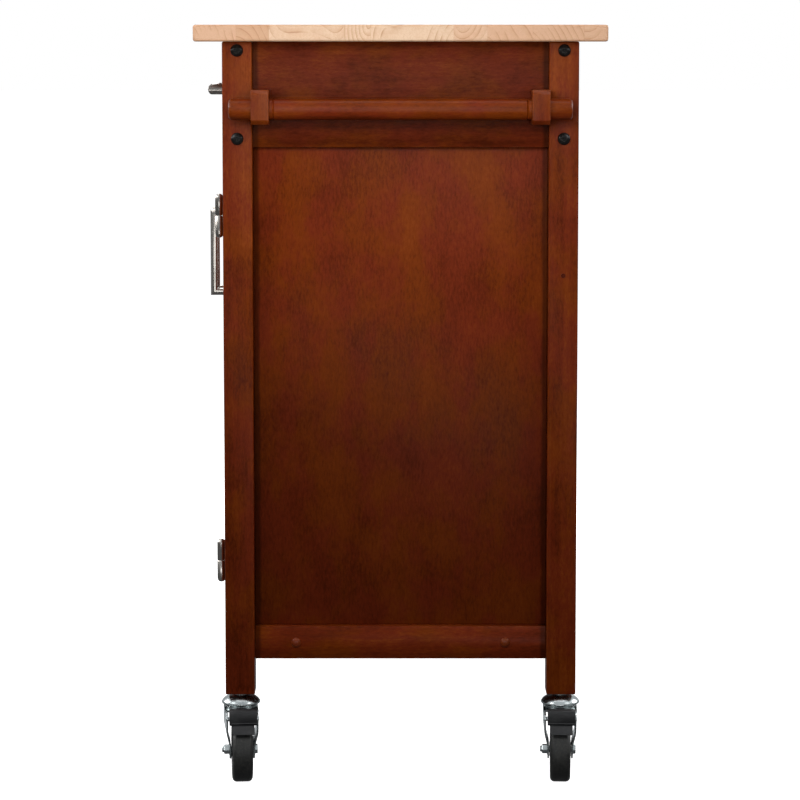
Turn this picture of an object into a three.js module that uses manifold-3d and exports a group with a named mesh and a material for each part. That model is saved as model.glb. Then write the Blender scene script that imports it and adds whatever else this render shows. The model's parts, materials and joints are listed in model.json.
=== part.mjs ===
// Kitchen island cart: a stained cabinet on four braked casters under a light wooden worktop.
// Millimetres, +Z up. The front, with drawers and doors, faces -Y, and the towel bar is at the +X end.
// The origin is the centre of the whole cart's footprint, on the floor.
import * as THREE from "three";
import { mergeVertices } from "three/addons/utils/BufferGeometryUtils.js";
import { RoundedBoxGeometry } from "three/addons/geometries/RoundedBoxGeometry.js";
import Module from "manifold-3d";

const wasm = await Module();
wasm.setup();

// ---------- driving dimensions ----------

const CART_HEIGHT = 870;
const TOP_LENGTH = 900;
const TOP_DEPTH = 468;
const TOP_THICKNESS = 19;
const TOP_EDGE_RADIUS = 3;
const TOP_OVERHANG_END = 20;
const TOP_OVERHANG_SIDE = 31.5;

const LEG_SIZE = 34;
const JOINT_GAP = 0.1; // between pieces that are glued or screwed together
const RAIL_THICKNESS = 18;
const RAIL_RECESS = 7; // end and back rails, behind the legs' outer faces
const PANEL_LEDGE = 10; // panels, behind the rails' outer faces
const APRON_HEIGHT = 120;
const BOTTOM_RAIL_HEIGHT = 38;
const BOTTOM_RAIL_CLEARANCE = 41; // above the legs' lower ends
const BOARD_THICKNESS = 12; // floor panel and shelves
const SHELF_SETBACK = 4; // behind the doors' back faces
const DIVIDER_THICKNESS = 16;

const FRAME_RECESS = 2; // face frame, doors and drawer fronts, behind the legs' front faces
const FRAME_THICKNESS = 20;
const STILE_WIDTH = 34;
const DRAWER_RAIL_HEIGHT = 16;
const DRAWER_OPENING = 114.5;
const LEAF_THICKNESS = 18; // doors and drawer fronts
const LEAF_GAP = 2.5; // around doors and drawer fronts

const DOOR_STILE = 45;
const DOOR_PANEL_THICKNESS = 8;
const DOOR_GROOVE = 6;
const SHELF_SHARE = 0.5; // shelf height within its bay

const BOX_BACK_GAP = 20; // drawer box, in front of the back apron
const BOX_HEIGHT = 90;
const BOX_WALL = 10;
const BOX_BOTTOM = 6;
const BOX_SIDE_CLEARANCE = 10;
const BOX_LIFT = 10; // above the drawer rail

const PULL_CENTRES = 96;
const PULL_BAR = 8;
const PULL_WIDTH = 12.5;
const PULL_PROJECTION = 29;
const PULL_CHAMFER = 1;
const DOOR_PULL_DROP = 121; // from the door's top edge to the pull's centre

const HINGE_LENGTH = 45;
const HINGE_UPPER_INSET = 66.5; // from the door's top edge to the hinge's centre
const HINGE_LOWER_INSET = 70; // from the door's lower edge to the hinge's centre
const HINGE_RADIUS = 5;
const HINGE_PROUD = 6; // axis in front of the legs' front faces
const HINGE_LEAF = 1;
const HINGE_LEAF_DEPTH = 18;
const HINGE_PIN_RADIUS = 2.4;
const RUNNING_GAP = 0.3;

const BAR_RADIUS = 12;
const BAR_OVERHANG = 26; // past the brackets, at each end
const BAR_CHAMFER = 2.5;
const BAR_GROOVE = 1;
const BAR_STANDOFF = 28; // bar axis, from the apron's face
const BAR_DROP = 76; // bar axis, below the worktop's underside
const BRACKET_WIDTH = 20;
const BRACKET_HEIGHT = 39;
const BRACKET_DEPTH = 48;
const BRACKET_CHAMFER = 5;
const BRACKET_RISE = 2.5; // bracket's middle, above the bar's axis
const BRACKET_EDGE_GAP = 0.5; // from the legs' inner faces

const BOLT_RADIUS = 7.2;
const BOLT_DOME = 4.5;
const BOLT_SOCKET = 2.3;
const BOLT_INSET = 10; // bolt axes, inside the apron's upper and lower edges

const WHEEL_RADIUS = 37.5;
const WHEEL_WIDTH = 23.5;
const TREAD_ROUND = 4;
const WHEEL_DISH = 3; // web, sunk from the tyre's sides
const RIM_SHARE = 0.72; // rim radius over wheel radius
const HUB_WALL = 4;
const AXLE_RADIUS = 4;
const CASTER_HEIGHT = 98.5;
const CASTER_TRAIL = 28;
const CASTER_TURNS = { front_right: 5, back_right: -2.5, front_left: 0, back_left: 0 }; // degrees, as the cart stands
const FORK_WIDTH = 40;
const FORK_AXLE_WIDTH = 29.4;
const FORK_WALL = 2;
const FORK_CROWN_GAP = 4; // crown, above the wheel
const FORK_EAR_RADIUS = 11;
const FORK_PIN_EAR = 5.5;
const FORK_BEND_TOP = 22; // the walls bend in between these heights above the axle
const FORK_BEND_LOW = 6;
const FORK_REAR_EDGE = 16; // straight rear edge of the walls, down from the crown
const NUT_FLATS = 10;
const NUT_LENGTH = 8.5; // lock nut with the axle bolt's end
const BOLT_HEAD = 3.5;
const DOME_RADIUS = 22.5;
const RACE_RADIUS = 19;
const RACE_HEIGHT = 4;
const DOME_RIM = 4.5; // height of the dome's rolled rim
const STEM_RADIUS = 6;
const STEM_LENGTH = 34;
const STEM_COLLAR_RADIUS = 9;
const PEDAL_WIDTH = 32;
const PEDAL_PIN_RADIUS = 2.5;
const PEDAL_PIVOT_REACH = 46; // pivot, from the swivel axis
const PEDAL_PIVOT_LIFT = 39.5; // pivot, above the axle
const PEDAL_SHOE_GAP = 4.8; // shoe, clear of the tread when the brake is off
const PEDAL_THICKNESS = 3;
const PEDAL_OFFSET = 1.2; // pedal, to one side of the fork's middle
const PEDAL_BARREL_WALL = 2.2;
const SHOE_WIDTH = 25.4;

const ROUND_STEPS = 20;
const WHEEL_STEPS = 24;
const SMALL_STEPS = 14;

// ---------- places worked out from them ----------

const TOP_UNDERSIDE = CART_HEIGHT - TOP_THICKNESS;
const LEG_OUT_X = TOP_LENGTH / 2 - TOP_OVERHANG_END;
const LEG_OUT_Y = TOP_DEPTH / 2 - TOP_OVERHANG_SIDE;
const LEG_X = LEG_OUT_X - LEG_SIZE / 2;
const LEG_Y = LEG_OUT_Y - LEG_SIZE / 2;
const LEG_IN_X = LEG_OUT_X - LEG_SIZE;
const LEG_IN_Y = LEG_OUT_Y - LEG_SIZE;
const LEG_TOP = TOP_UNDERSIDE - JOINT_GAP;

const BOTTOM_RAIL_LOW = CASTER_HEIGHT + BOTTOM_RAIL_CLEARANCE;
const BOTTOM_RAIL_TOP = BOTTOM_RAIL_LOW + BOTTOM_RAIL_HEIGHT;
const APRON_LOW = TOP_UNDERSIDE - APRON_HEIGHT;
const END_FACE = LEG_OUT_X - RAIL_RECESS;
const END_INSIDE = END_FACE - RAIL_THICKNESS;
const BACK_FACE = LEG_OUT_Y - RAIL_RECESS;
const BACK_INSIDE = BACK_FACE - RAIL_THICKNESS;
const PANEL_THICKNESS = RAIL_THICKNESS - PANEL_LEDGE;

const FRAME_FACE = -LEG_OUT_Y + FRAME_RECESS;
const FRAME_INSIDE = FRAME_FACE + FRAME_THICKNESS;
const DRAWER_OPENING_LOW = TOP_UNDERSIDE - DRAWER_OPENING;
const DRAWER_RAIL_LOW = DRAWER_OPENING_LOW - DRAWER_RAIL_HEIGHT;
const BAY_NEAR = STILE_WIDTH / 2;
const BAY_WIDTH = LEG_IN_X - BAY_NEAR;
const BAY_CENTRE = BAY_NEAR + BAY_WIDTH / 2;
const LEAF_BACK = FRAME_FACE + LEAF_THICKNESS;
const SHELF_FRONT = LEAF_BACK + SHELF_SETBACK;
const FLOOR_LOW = BOTTOM_RAIL_TOP - BOARD_THICKNESS;
const SHELF_LOW = BOTTOM_RAIL_TOP + SHELF_SHARE * (DRAWER_RAIL_LOW - BOTTOM_RAIL_TOP) - BOARD_THICKNESS / 2;

const DOOR_LOW = BOTTOM_RAIL_TOP + LEAF_GAP;
const DOOR_TOP = DRAWER_RAIL_LOW - LEAF_GAP;
const DOOR_WIDTH = (BAY_WIDTH - 3 * LEAF_GAP) / 2;
const PULL_LENGTH = PULL_CENTRES + PULL_BAR;

const BAR_X = END_FACE + BAR_STANDOFF;
const BAR_Z = TOP_UNDERSIDE - BAR_DROP;
const BRACKET_Y = LEG_IN_Y - BRACKET_EDGE_GAP - BRACKET_WIDTH / 2;

const FORK_CROWN = 2 * WHEEL_RADIUS + FORK_CROWN_GAP;

// ---------- materials ----------

function finish(color, roughness, metalness = 0) {
  return new THREE.MeshStandardMaterial({ color, roughness, metalness });
}

const STAINED = finish(0x6b2a17, 0.4);
const TOP_WOOD = finish(0xe2ba98, 0.5);
const PLAIN_WOOD = finish(0xcdb48e, 0.7);
const NICKEL = finish(0xb5aea6, 0.35, 1);
const ZINC = finish(0xc3c6c8, 0.3, 1);
const BLACK_STEEL = finish(0x15110f, 0.4, 0.6);
const BLACK_PLASTIC = finish(0x1d1e1e, 0.45);
const TYRE = finish(0x232423, 0.7);

// ---------- making and joining solids ----------

const cart = new THREE.Group();

function add(name, geometry, material, parent = cart) {
  const mesh = new THREE.Mesh(geometry, material);
  mesh.name = name;
  parent.add(mesh);
  return mesh;
}

// A geometry as a solid that can be cut and joined.
function solid(geometry) {
  const bare = new THREE.BufferGeometry();
  bare.setAttribute("position", geometry.getAttribute("position"));
  bare.setIndex(geometry.getIndex());
  const merged = mergeVertices(bare, 1e-3);
  return new wasm.Manifold(
    new wasm.Mesh({
      numProp: 3,
      vertProperties: new Float32Array(merged.attributes.position.array),
      triVerts: new Uint32Array(merged.index.array),
    }),
  );
}

function geometryOf(made) {
  const mesh = made.getMesh();
  const geometry = new THREE.BufferGeometry();
  geometry.setAttribute("position", new THREE.BufferAttribute(mesh.vertProperties, 3));
  geometry.setIndex(new THREE.BufferAttribute(mesh.triVerts, 1));
  return geometry;
}

// A block between two corners.
function block(x0, x1, y0, y1, z0, z1) {
  const geometry = new THREE.BoxGeometry(x1 - x0, y1 - y0, z1 - z0);
  return geometry.translate((x0 + x1) / 2, (y0 + y1) / 2, (z0 + z1) / 2);
}

// An outline of [x, y] points, pushed along +Z from z0 to z1.
function plate(points, z0, z1) {
  const shape = new THREE.Shape(points.map(([x, y]) => new THREE.Vector2(x, y)));
  return new THREE.ExtrudeGeometry(shape, { depth: z1 - z0, bevelEnabled: false }).translate(0, 0, z0);
}

// An outline of [x, z] points, pushed along Y between -width/2 and width/2.
function sidePlate(points, width) {
  return plate(points, -width / 2, width / 2).rotateX(Math.PI / 2);
}

// A round solid about the Z axis, from [radius, z] points that start and end on the axis.
function turned(points, steps = ROUND_STEPS) {
  return new THREE.LatheGeometry(
    points.map(([radius, z]) => new THREE.Vector2(radius, z)),
    steps,
  ).rotateX(Math.PI / 2);
}

// A plain rod about the Z axis between z0 and z1.
function rod(radius, z0, z1, steps = SMALL_STEPS) {
  return turned([[0, z0], [radius, z0], [radius, z1], [0, z1]], steps);
}

// Turns a solid made about Z so that it lies along +Y.
function alongY(geometry) {
  return geometry.rotateX(-Math.PI / 2);
}

// Points of an arc about (x, y), from one angle to another in degrees.
function arc(x, y, radius, from, to, steps) {
  return Array.from({ length: steps + 1 }, (_, i) => {
    const angle = THREE.MathUtils.degToRad(from + ((to - from) * i) / steps);
    return [x + radius * Math.cos(angle), y + radius * Math.sin(angle)];
  });
}

// The same outline on the other side of x = 0, still running the same way round.
function mirrored(points) {
  return points.map(([x, y]) => [-x, y]).reverse();
}

// ---------- worktop, legs, rails and panels ----------

function worktop() {
  const geometry = new RoundedBoxGeometry(TOP_LENGTH, TOP_DEPTH, TOP_THICKNESS, 2, TOP_EDGE_RADIUS);
  add("worktop", geometry.translate(0, 0, CART_HEIGHT - TOP_THICKNESS / 2), TOP_WOOD);
}

// Each leg has a blind hole in its lower end for a caster's stem.
function legs() {
  for (const [end, sx] of [["right", 1], ["left", -1]]) {
    for (const [side, sy] of [["front", -1], ["back", 1]]) {
      const half = LEG_SIZE / 2;
      const post = solid(block(-half, half, -half, half, CASTER_HEIGHT, LEG_TOP));
      const holeTop = CASTER_HEIGHT + STEM_LENGTH + 2 * RUNNING_GAP;
      const hole = solid(rod(STEM_RADIUS + RUNNING_GAP, CASTER_HEIGHT - 1, holeTop));
      const leg = add(`leg_${side}_${end}`, geometryOf(post.subtract(hole)), STAINED);
      leg.position.set(sx * LEG_X, sy * LEG_Y, 0);
    }
  }
}

// The apron, bottom rail and panel of one end, between its two legs.
function end(name, sx) {
  const y = LEG_IN_Y - JOINT_GAP;
  const panelFace = END_FACE - PANEL_LEDGE;
  const span = (from, to) => (sx > 0 ? [from, to] : [-to, -from]);
  const rail = span(END_INSIDE, END_FACE);
  const panel = span(panelFace - PANEL_THICKNESS, panelFace);
  add(`end_apron_${name}`, block(...rail, -y, y, APRON_LOW, LEG_TOP), STAINED);
  add(`end_rail_${name}`, block(...rail, -y, y, BOTTOM_RAIL_LOW, BOTTOM_RAIL_TOP), STAINED);
  const panelLow = BOTTOM_RAIL_TOP + JOINT_GAP;
  add(`end_panel_${name}`, block(...panel, -y, y, panelLow, APRON_LOW - JOINT_GAP), STAINED);
}

function back() {
  const x = LEG_IN_X - JOINT_GAP;
  const panelFace = BACK_FACE - PANEL_LEDGE;
  const panelLow = BOTTOM_RAIL_TOP + JOINT_GAP;
  const panelTop = APRON_LOW - JOINT_GAP;
  add("back_apron", block(-x, x, BACK_INSIDE, BACK_FACE, APRON_LOW, LEG_TOP), STAINED);
  add("back_rail", block(-x, x, BACK_INSIDE, BACK_FACE, BOTTOM_RAIL_LOW, BOTTOM_RAIL_TOP), STAINED);
  add("back_panel", block(-x, x, panelFace - PANEL_THICKNESS, panelFace, panelLow, panelTop), STAINED);
}

// The drawer rail and the centre stile cross in a half lap: the rail loses its front half there,
// and the stile its back half.
function faceFrame() {
  const x = LEG_IN_X - JOINT_GAP;
  const half = STILE_WIDTH / 2;
  const middle = (FRAME_FACE + FRAME_INSIDE) / 2;
  const railTop = DRAWER_OPENING_LOW;
  const gap = JOINT_GAP / 2;
  add(
    "front_rail",
    block(-x, x, FRAME_FACE, FRAME_INSIDE, BOTTOM_RAIL_LOW, BOTTOM_RAIL_TOP),
    STAINED,
  );
  const rail = solid(block(-x, x, FRAME_FACE, FRAME_INSIDE, DRAWER_RAIL_LOW, railTop));
  const railLap = solid(
    block(-half - gap, half + gap, FRAME_FACE - 1, middle + gap, DRAWER_RAIL_LOW - 1, railTop + 1),
  );
  add("drawer_rail", geometryOf(rail.subtract(railLap)), STAINED);
  const stileLow = BOTTOM_RAIL_TOP + JOINT_GAP;
  const stile = solid(block(-half, half, FRAME_FACE, FRAME_INSIDE, stileLow, LEG_TOP));
  const stileLap = solid(
    block(-half - 1, half + 1, middle - gap, FRAME_INSIDE + 1, DRAWER_RAIL_LOW - gap, railTop + gap),
  );
  add("centre_stile", geometryOf(stile.subtract(stileLap)), STAINED);
}

// A board between x0 and x1 that reaches past the legs, with a notch for each leg that it meets.
function notchedBoard(x0, x1, y0, y1, z0) {
  const board = solid(block(x0, x1, y0, y1, z0, z0 + BOARD_THICKNESS));
  const cuts = [];
  for (const sx of [-1, 1]) {
    for (const sy of [-1, 1]) {
      const half = LEG_SIZE / 2 + JOINT_GAP;
      const cut = block(-half, half, -half, half, z0 - 1, z0 + BOARD_THICKNESS + 1);
      cuts.push(solid(cut.translate(sx * LEG_X, sy * LEG_Y, 0)));
    }
  }
  return geometryOf(cuts.reduce((left, cut) => left.subtract(cut), board));
}

function inside() {
  const x = END_INSIDE - JOINT_GAP;
  const y = BACK_INSIDE - JOINT_GAP;
  const half = DIVIDER_THICKNESS / 2;
  const shelfX = half + JOINT_GAP;
  const floor = notchedBoard(-x, x, FRAME_INSIDE + JOINT_GAP, y, FLOOR_LOW);
  add("floor_panel", floor, STAINED);
  const dividerLow = BOTTOM_RAIL_TOP + JOINT_GAP;
  const divider = block(-half, half, FRAME_INSIDE + JOINT_GAP, y, dividerLow, LEG_TOP);
  add("centre_divider", divider, STAINED);
  add("cabinet_shelf", notchedBoard(shelfX, x, SHELF_FRONT, y, SHELF_LOW), STAINED);
  add("open_shelf", notchedBoard(-x, -shelfX, SHELF_FRONT, y, SHELF_LOW), STAINED);
}

// ---------- pulls ----------

// A bent flat bar: two arms and a grip, standing out towards -Y, with its length along X.
function pull() {
  const out = PULL_PROJECTION;
  const far = PULL_LENGTH / 2;
  const near = far - PULL_BAR;
  const right = [
    [near, 0],
    [far, 0],
    [far, PULL_CHAMFER - out],
    [far - PULL_CHAMFER, -out],
  ];
  const inner = [[-near, PULL_BAR - out], [near, PULL_BAR - out]];
  const outline = [...right.toReversed(), ...inner.toReversed(), ...mirrored(right.toReversed())];
  return plate(outline, -PULL_WIDTH / 2, PULL_WIDTH / 2);
}

// ---------- drawers ----------

function drawer(name, sx) {
  const group = new THREE.Group();
  group.position.x = sx * BAY_CENTRE;
  cart.add(group);
  const low = DRAWER_OPENING_LOW + LEAF_GAP;
  const top = TOP_UNDERSIDE - LEAF_GAP;
  const halfFront = BAY_WIDTH / 2 - LEAF_GAP;
  add(`drawer_${name}_front`, block(-halfFront, halfFront, FRAME_FACE, LEAF_BACK, low, top), STAINED, group);

  const half = halfFront - BOX_SIDE_CLEARANCE;
  const y0 = LEAF_BACK + JOINT_GAP;
  const y1 = BACK_INSIDE - BOX_BACK_GAP;
  const z0 = DRAWER_OPENING_LOW + BOX_LIFT;
  const z1 = z0 + BOX_HEIGHT;
  const box = solid(block(-half, half, y0, y1, z0, z1));
  const hollow = solid(
    block(-half + BOX_WALL, half - BOX_WALL, y0 + BOX_WALL, y1 - BOX_WALL, z0 + BOX_BOTTOM, z1 + 1),
  );
  add(`drawer_${name}_box`, geometryOf(box.subtract(hollow)), PLAIN_WOOD, group);

  const handle = add(`drawer_${name}_pull`, pull(), NICKEL, group);
  handle.position.set(0, FRAME_FACE - JOINT_GAP, (low + top) / 2);
}

// ---------- doors and hinges ----------

// A framed door with a loose panel in a groove. side is +1 where the hinges are at its +X edge.
function door(name, side) {
  const edge = BAY_CENTRE + side * (BAY_WIDTH / 2 - LEAF_GAP);
  const middle = edge - (side * DOOR_WIDTH) / 2;
  const group = new THREE.Group();
  group.position.x = middle;
  cart.add(group);
  const half = DOOR_WIDTH / 2;
  const open = half - DOOR_STILE;
  const panelHalf = open + DOOR_GROOVE - JOINT_GAP;
  const panelY = (FRAME_FACE + LEAF_BACK) / 2;
  const grooveHalf = DOOR_PANEL_THICKNESS / 2 + JOINT_GAP;
  const low = DOOR_LOW + DOOR_STILE;
  const top = DOOR_TOP - DOOR_STILE;
  const slab = solid(block(-half, half, FRAME_FACE, LEAF_BACK, DOOR_LOW, DOOR_TOP));
  const light = solid(block(-open, open, FRAME_FACE - 1, LEAF_BACK + 1, low, top));
  const grooveX = open + DOOR_GROOVE;
  const groove = solid(
    block(-grooveX, grooveX, panelY - grooveHalf, panelY + grooveHalf, low - DOOR_GROOVE, top + DOOR_GROOVE),
  );
  add(`door_${name}_frame`, geometryOf(slab.subtract(light).subtract(groove)), STAINED, group);
  const panelRise = DOOR_GROOVE - JOINT_GAP;
  add(
    `door_${name}_panel`,
    block(
      -panelHalf,
      panelHalf,
      panelY - DOOR_PANEL_THICKNESS / 2,
      panelY + DOOR_PANEL_THICKNESS / 2,
      low - panelRise,
      top + panelRise,
    ),
    STAINED,
    group,
  );
  const handle = add(`door_${name}_pull`, pull().rotateY(Math.PI / 2), NICKEL, group);
  handle.position.set(
    -side * (half - DOOR_STILE / 2),
    FRAME_FACE - JOINT_GAP,
    DOOR_TOP - DOOR_PULL_DROP,
  );
  for (const [place, z] of [["upper", DOOR_TOP - HINGE_UPPER_INSET], ["lower", DOOR_LOW + HINGE_LOWER_INSET]]) {
    hinge(`${name}_${place}`, side, z);
  }
}

// A butt hinge in the gap at a door's edge. The frame leaf carries the pin and the lower knuckle.
function hinge(name, side, z) {
  const group = new THREE.Group();
  const axisX = BAY_CENTRE + side * (BAY_WIDTH / 2 - LEAF_GAP / 2);
  group.position.set(axisX, -LEG_OUT_Y - HINGE_PROUD, z);
  cart.add(group);
  const half = HINGE_LENGTH / 2;
  const split = RUNNING_GAP / 2;
  const tip = HINGE_RADIUS * 0.6;
  const knuckle = [
    [0, -half - tip],
    [HINGE_RADIUS * 0.6, -half - tip * 0.7],
    [HINGE_RADIUS, -half],
    [HINGE_RADIUS, -split],
    [0, -split],
  ];
  const lower = solid(turned(knuckle, SMALL_STEPS));
  const upper = solid(turned(knuckle.map(([radius, height]) => [radius, -height]).reverse(), SMALL_STEPS));
  const pinTop = half - RUNNING_GAP;
  const pin = solid(rod(HINGE_PIN_RADIUS, -half / 2, pinTop));
  const bore = solid(rod(HINGE_PIN_RADIUS + RUNNING_GAP, -1, pinTop + RUNNING_GAP));
  const back0 = HINGE_PROUD + RUNNING_GAP;
  const back1 = HINGE_PROUD + HINGE_LEAF_DEPTH;
  const inner = RUNNING_GAP / 2;
  const leaf = (towards, z0, z1, y0) => {
    const from = towards > 0 ? inner : -inner - HINGE_LEAF;
    return solid(block(from, from + HINGE_LEAF, y0, back1, z0, z1));
  };
  const neck = HINGE_PIN_RADIUS + 2 * RUNNING_GAP;
  const frame = lower.add(pin).add(leaf(side, -half, half, back0)).add(leaf(side, -half, -split, neck));
  const swing = upper.add(leaf(-side, -half, half, back0)).add(leaf(-side, split, half, neck));
  add(`hinge_${name}_frame_leaf`, geometryOf(frame), NICKEL, group);
  add(`hinge_${name}_door_leaf`, geometryOf(swing.subtract(bore)), NICKEL, group);
}

// ---------- towel bar and bolts ----------

function towelBar() {
  const half = BRACKET_Y + BRACKET_WIDTH / 2 + BAR_OVERHANG;
  const grooveAt = BRACKET_Y - BRACKET_WIDTH / 2 - BAR_GROOVE * 4;
  const halfProfile = [
    [BAR_RADIUS, grooveAt - BAR_GROOVE],
    [BAR_RADIUS - BAR_GROOVE, grooveAt],
    [BAR_RADIUS, grooveAt + BAR_GROOVE],
    [BAR_RADIUS, half - BAR_CHAMFER],
    [BAR_RADIUS - BAR_CHAMFER, half],
    [0, half],
  ];
  const profile = [...halfProfile.map(([radius, z]) => [radius, -z]).reverse(), ...halfProfile];
  const bar = add("towel_bar", alongY(turned(profile)), STAINED);
  bar.position.set(BAR_X, 0, BAR_Z);

  // Brackets stand out from the apron; their outer edges are chamfered above and below.
  const top = BRACKET_RISE + BRACKET_HEIGHT / 2;
  const low = BRACKET_RISE - BRACKET_HEIGHT / 2;
  const deep = BRACKET_DEPTH;
  const outline = [
    [JOINT_GAP, low],
    [deep - BRACKET_CHAMFER, low],
    [deep, low + BRACKET_CHAMFER],
    [deep, top - BRACKET_CHAMFER],
    [deep - BRACKET_CHAMFER, top],
    [JOINT_GAP, top],
  ];
  const reach = BRACKET_WIDTH;
  const hole = solid(alongY(rod(BAR_RADIUS + RUNNING_GAP, -reach, reach, ROUND_STEPS)).translate(BAR_STANDOFF, 0, 0));
  const made = geometryOf(solid(sidePlate(outline, BRACKET_WIDTH)).subtract(hole));
  for (const [name, sy] of [["front", -1], ["back", 1]]) {
    const bracket = add(`towel_bracket_${name}`, made, STAINED);
    bracket.position.set(END_FACE, sy * BRACKET_Y, BAR_Z);
  }
}

// The domed heads of the bolts that hold the end apron's legs, each with a hexagonal socket.
function bolts() {
  const dome = arc(0, 0, 1, 0, 90, 5).map(([c, s]) => [BOLT_RADIUS * c, BOLT_DOME * s]);
  const profile = [[0, JOINT_GAP], [BOLT_RADIUS, JOINT_GAP], ...dome.slice(1, -1), [0, BOLT_DOME]];
  const socket = solid(rod(BOLT_SOCKET, BOLT_DOME / 2, BOLT_DOME + 1, 6));
  const head = geometryOf(solid(turned(profile, SMALL_STEPS)).subtract(socket)).rotateY(Math.PI / 2);
  for (const [side, sy] of [["front", -1], ["back", 1]]) {
    for (const [height, z] of [["upper", LEG_TOP - BOLT_INSET], ["lower", APRON_LOW + BOLT_INSET]]) {
      const bolt = add(`bolt_${side}_${height}`, head, BLACK_STEEL);
      bolt.position.set(LEG_OUT_X, sy * LEG_Y, z);
    }
  }
}

// ---------- casters ----------

// The fork's outline seen from the front: a crown and two walls that bend in towards the axle.
function forkWalls() {
  const wide = FORK_WIDTH / 2;
  const narrow = FORK_AXLE_WIDTH / 2;
  const bendTop = WHEEL_RADIUS + FORK_BEND_TOP;
  const bendLow = WHEEL_RADIUS + FORK_BEND_LOW;
  const low = WHEEL_RADIUS - FORK_EAR_RADIUS - 1;
  const outer = [[narrow, low], [narrow, bendLow], [wide, bendTop], [wide, FORK_CROWN + FORK_WALL]];
  const inner = [
    [narrow - FORK_WALL, low],
    [narrow - FORK_WALL, bendLow],
    [wide - FORK_WALL, bendTop],
    [wide - FORK_WALL, FORK_CROWN],
  ];
  const outline = [
    ...outer,
    ...mirrored(outer),
    ...mirrored(inner.toReversed()),
    ...inner.toReversed(),
  ];
  const length = 2 * CASTER_TRAIL + PEDAL_PIVOT_REACH;
  return plate(outline, -length, length).rotateX(Math.PI / 2).rotateZ(Math.PI / 2);
}

// The fork's outline seen from the side, which the walls are trimmed to.
function forkSide() {
  const top = FORK_CROWN + FORK_WALL;
  const pivotZ = WHEEL_RADIUS + PEDAL_PIVOT_LIFT;
  const ear = FORK_PIN_EAR;
  const outline = [
    [-RACE_RADIUS, top],
    [-RACE_RADIUS, top - FORK_REAR_EDGE],
    ...arc(CASTER_TRAIL, WHEEL_RADIUS, FORK_EAR_RADIUS, 200, 360, 8),
    ...arc(PEDAL_PIVOT_REACH, pivotZ, ear, -20, 90, 5),
    [PEDAL_PIVOT_REACH - 2 * ear, pivotZ + ear],
    [PEDAL_PIVOT_REACH - 2.5 * ear, top],
  ];
  return sidePlate(outline, FORK_WIDTH + 2);
}

function hexRod(flats, z0, z1) {
  return rod(flats / Math.sqrt(3), z0, z1, 6);
}

// Fork, ball races, dome, stem, axle bolt and brake pin, joined as they turn together.
function forkSolid() {
  const crown = FORK_CROWN + FORK_WALL;
  const raceTop = crown + RACE_HEIGHT;
  const domeTop = CASTER_HEIGHT - 2;
  const head = turned([
    [0, FORK_CROWN + 0.5],
    [RACE_RADIUS - 2, FORK_CROWN + 0.5],
    [RACE_RADIUS - 2, crown],
    [RACE_RADIUS, crown + 1],
    [RACE_RADIUS, raceTop - 1],
    [DOME_RADIUS - 1.5, raceTop],
    [DOME_RADIUS, raceTop + DOME_RIM / 3],
    [DOME_RADIUS - 0.5, raceTop + DOME_RIM],
    [DOME_RADIUS - 5, domeTop - 2],
    [STEM_COLLAR_RADIUS, domeTop],
    [STEM_COLLAR_RADIUS, CASTER_HEIGHT - RUNNING_GAP],
    [STEM_RADIUS, CASTER_HEIGHT - RUNNING_GAP],
    [STEM_RADIUS, CASTER_HEIGHT + STEM_LENGTH],
    [0, CASTER_HEIGHT + STEM_LENGTH],
  ]);
  const outer = FORK_AXLE_WIDTH / 2;
  const axle = alongY(rod(AXLE_RADIUS, -outer, outer)).translate(CASTER_TRAIL, 0, WHEEL_RADIUS);
  const nut = alongY(hexRod(NUT_FLATS, -outer - NUT_LENGTH, 1 - outer)).translate(CASTER_TRAIL, 0, WHEEL_RADIUS);
  const bolt = alongY(hexRod(NUT_FLATS, outer - 1, outer + BOLT_HEAD)).translate(CASTER_TRAIL, 0, WHEEL_RADIUS);
  const half = FORK_WIDTH / 2;
  const pin = alongY(rod(PEDAL_PIN_RADIUS, -half - 1, half + 1)).translate(
    PEDAL_PIVOT_REACH,
    0,
    WHEEL_RADIUS + PEDAL_PIVOT_LIFT,
  );
  // The crown stops short of the pedal, which moves between the walls.
  const inner = half - FORK_WALL;
  const pedalRoom = block(RACE_RADIUS + 3, 2 * FORK_WIDTH, -inner, inner, FORK_CROWN - 1, CASTER_HEIGHT);
  const walls = solid(forkWalls()).intersect(solid(forkSide())).subtract(solid(pedalRoom));
  return [head, axle, nut, bolt, pin].reduce((joined, piece) => joined.add(solid(piece)), walls);
}

// Tyre, rim and hub, with a bore for the axle. Made about Z and laid along Y.
function wheelGeometry() {
  const half = WHEEL_WIDTH / 2;
  const hubHalf = FORK_AXLE_WIDTH / 2 - FORK_WALL - RUNNING_GAP;
  const bore = AXLE_RADIUS + RUNNING_GAP;
  const tread = WHEEL_RADIUS;
  const rim = WHEEL_RADIUS * RIM_SHARE;
  const side = [
    [bore, hubHalf],
    [bore + HUB_WALL, hubHalf],
    [bore + HUB_WALL + 1, half - WHEEL_DISH],
    [rim - 1.5, half - WHEEL_DISH],
    [rim, half - 0.5],
    [tread - TREAD_ROUND, half],
    [tread - TREAD_ROUND * 0.3, half - TREAD_ROUND * 0.3],
    [tread, half - TREAD_ROUND],
  ];
  const profile = [...side.map(([radius, z]) => [radius, -z]), ...side.toReversed()];
  return alongY(turned([...profile, profile[0]], WHEEL_STEPS));
}

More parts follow.
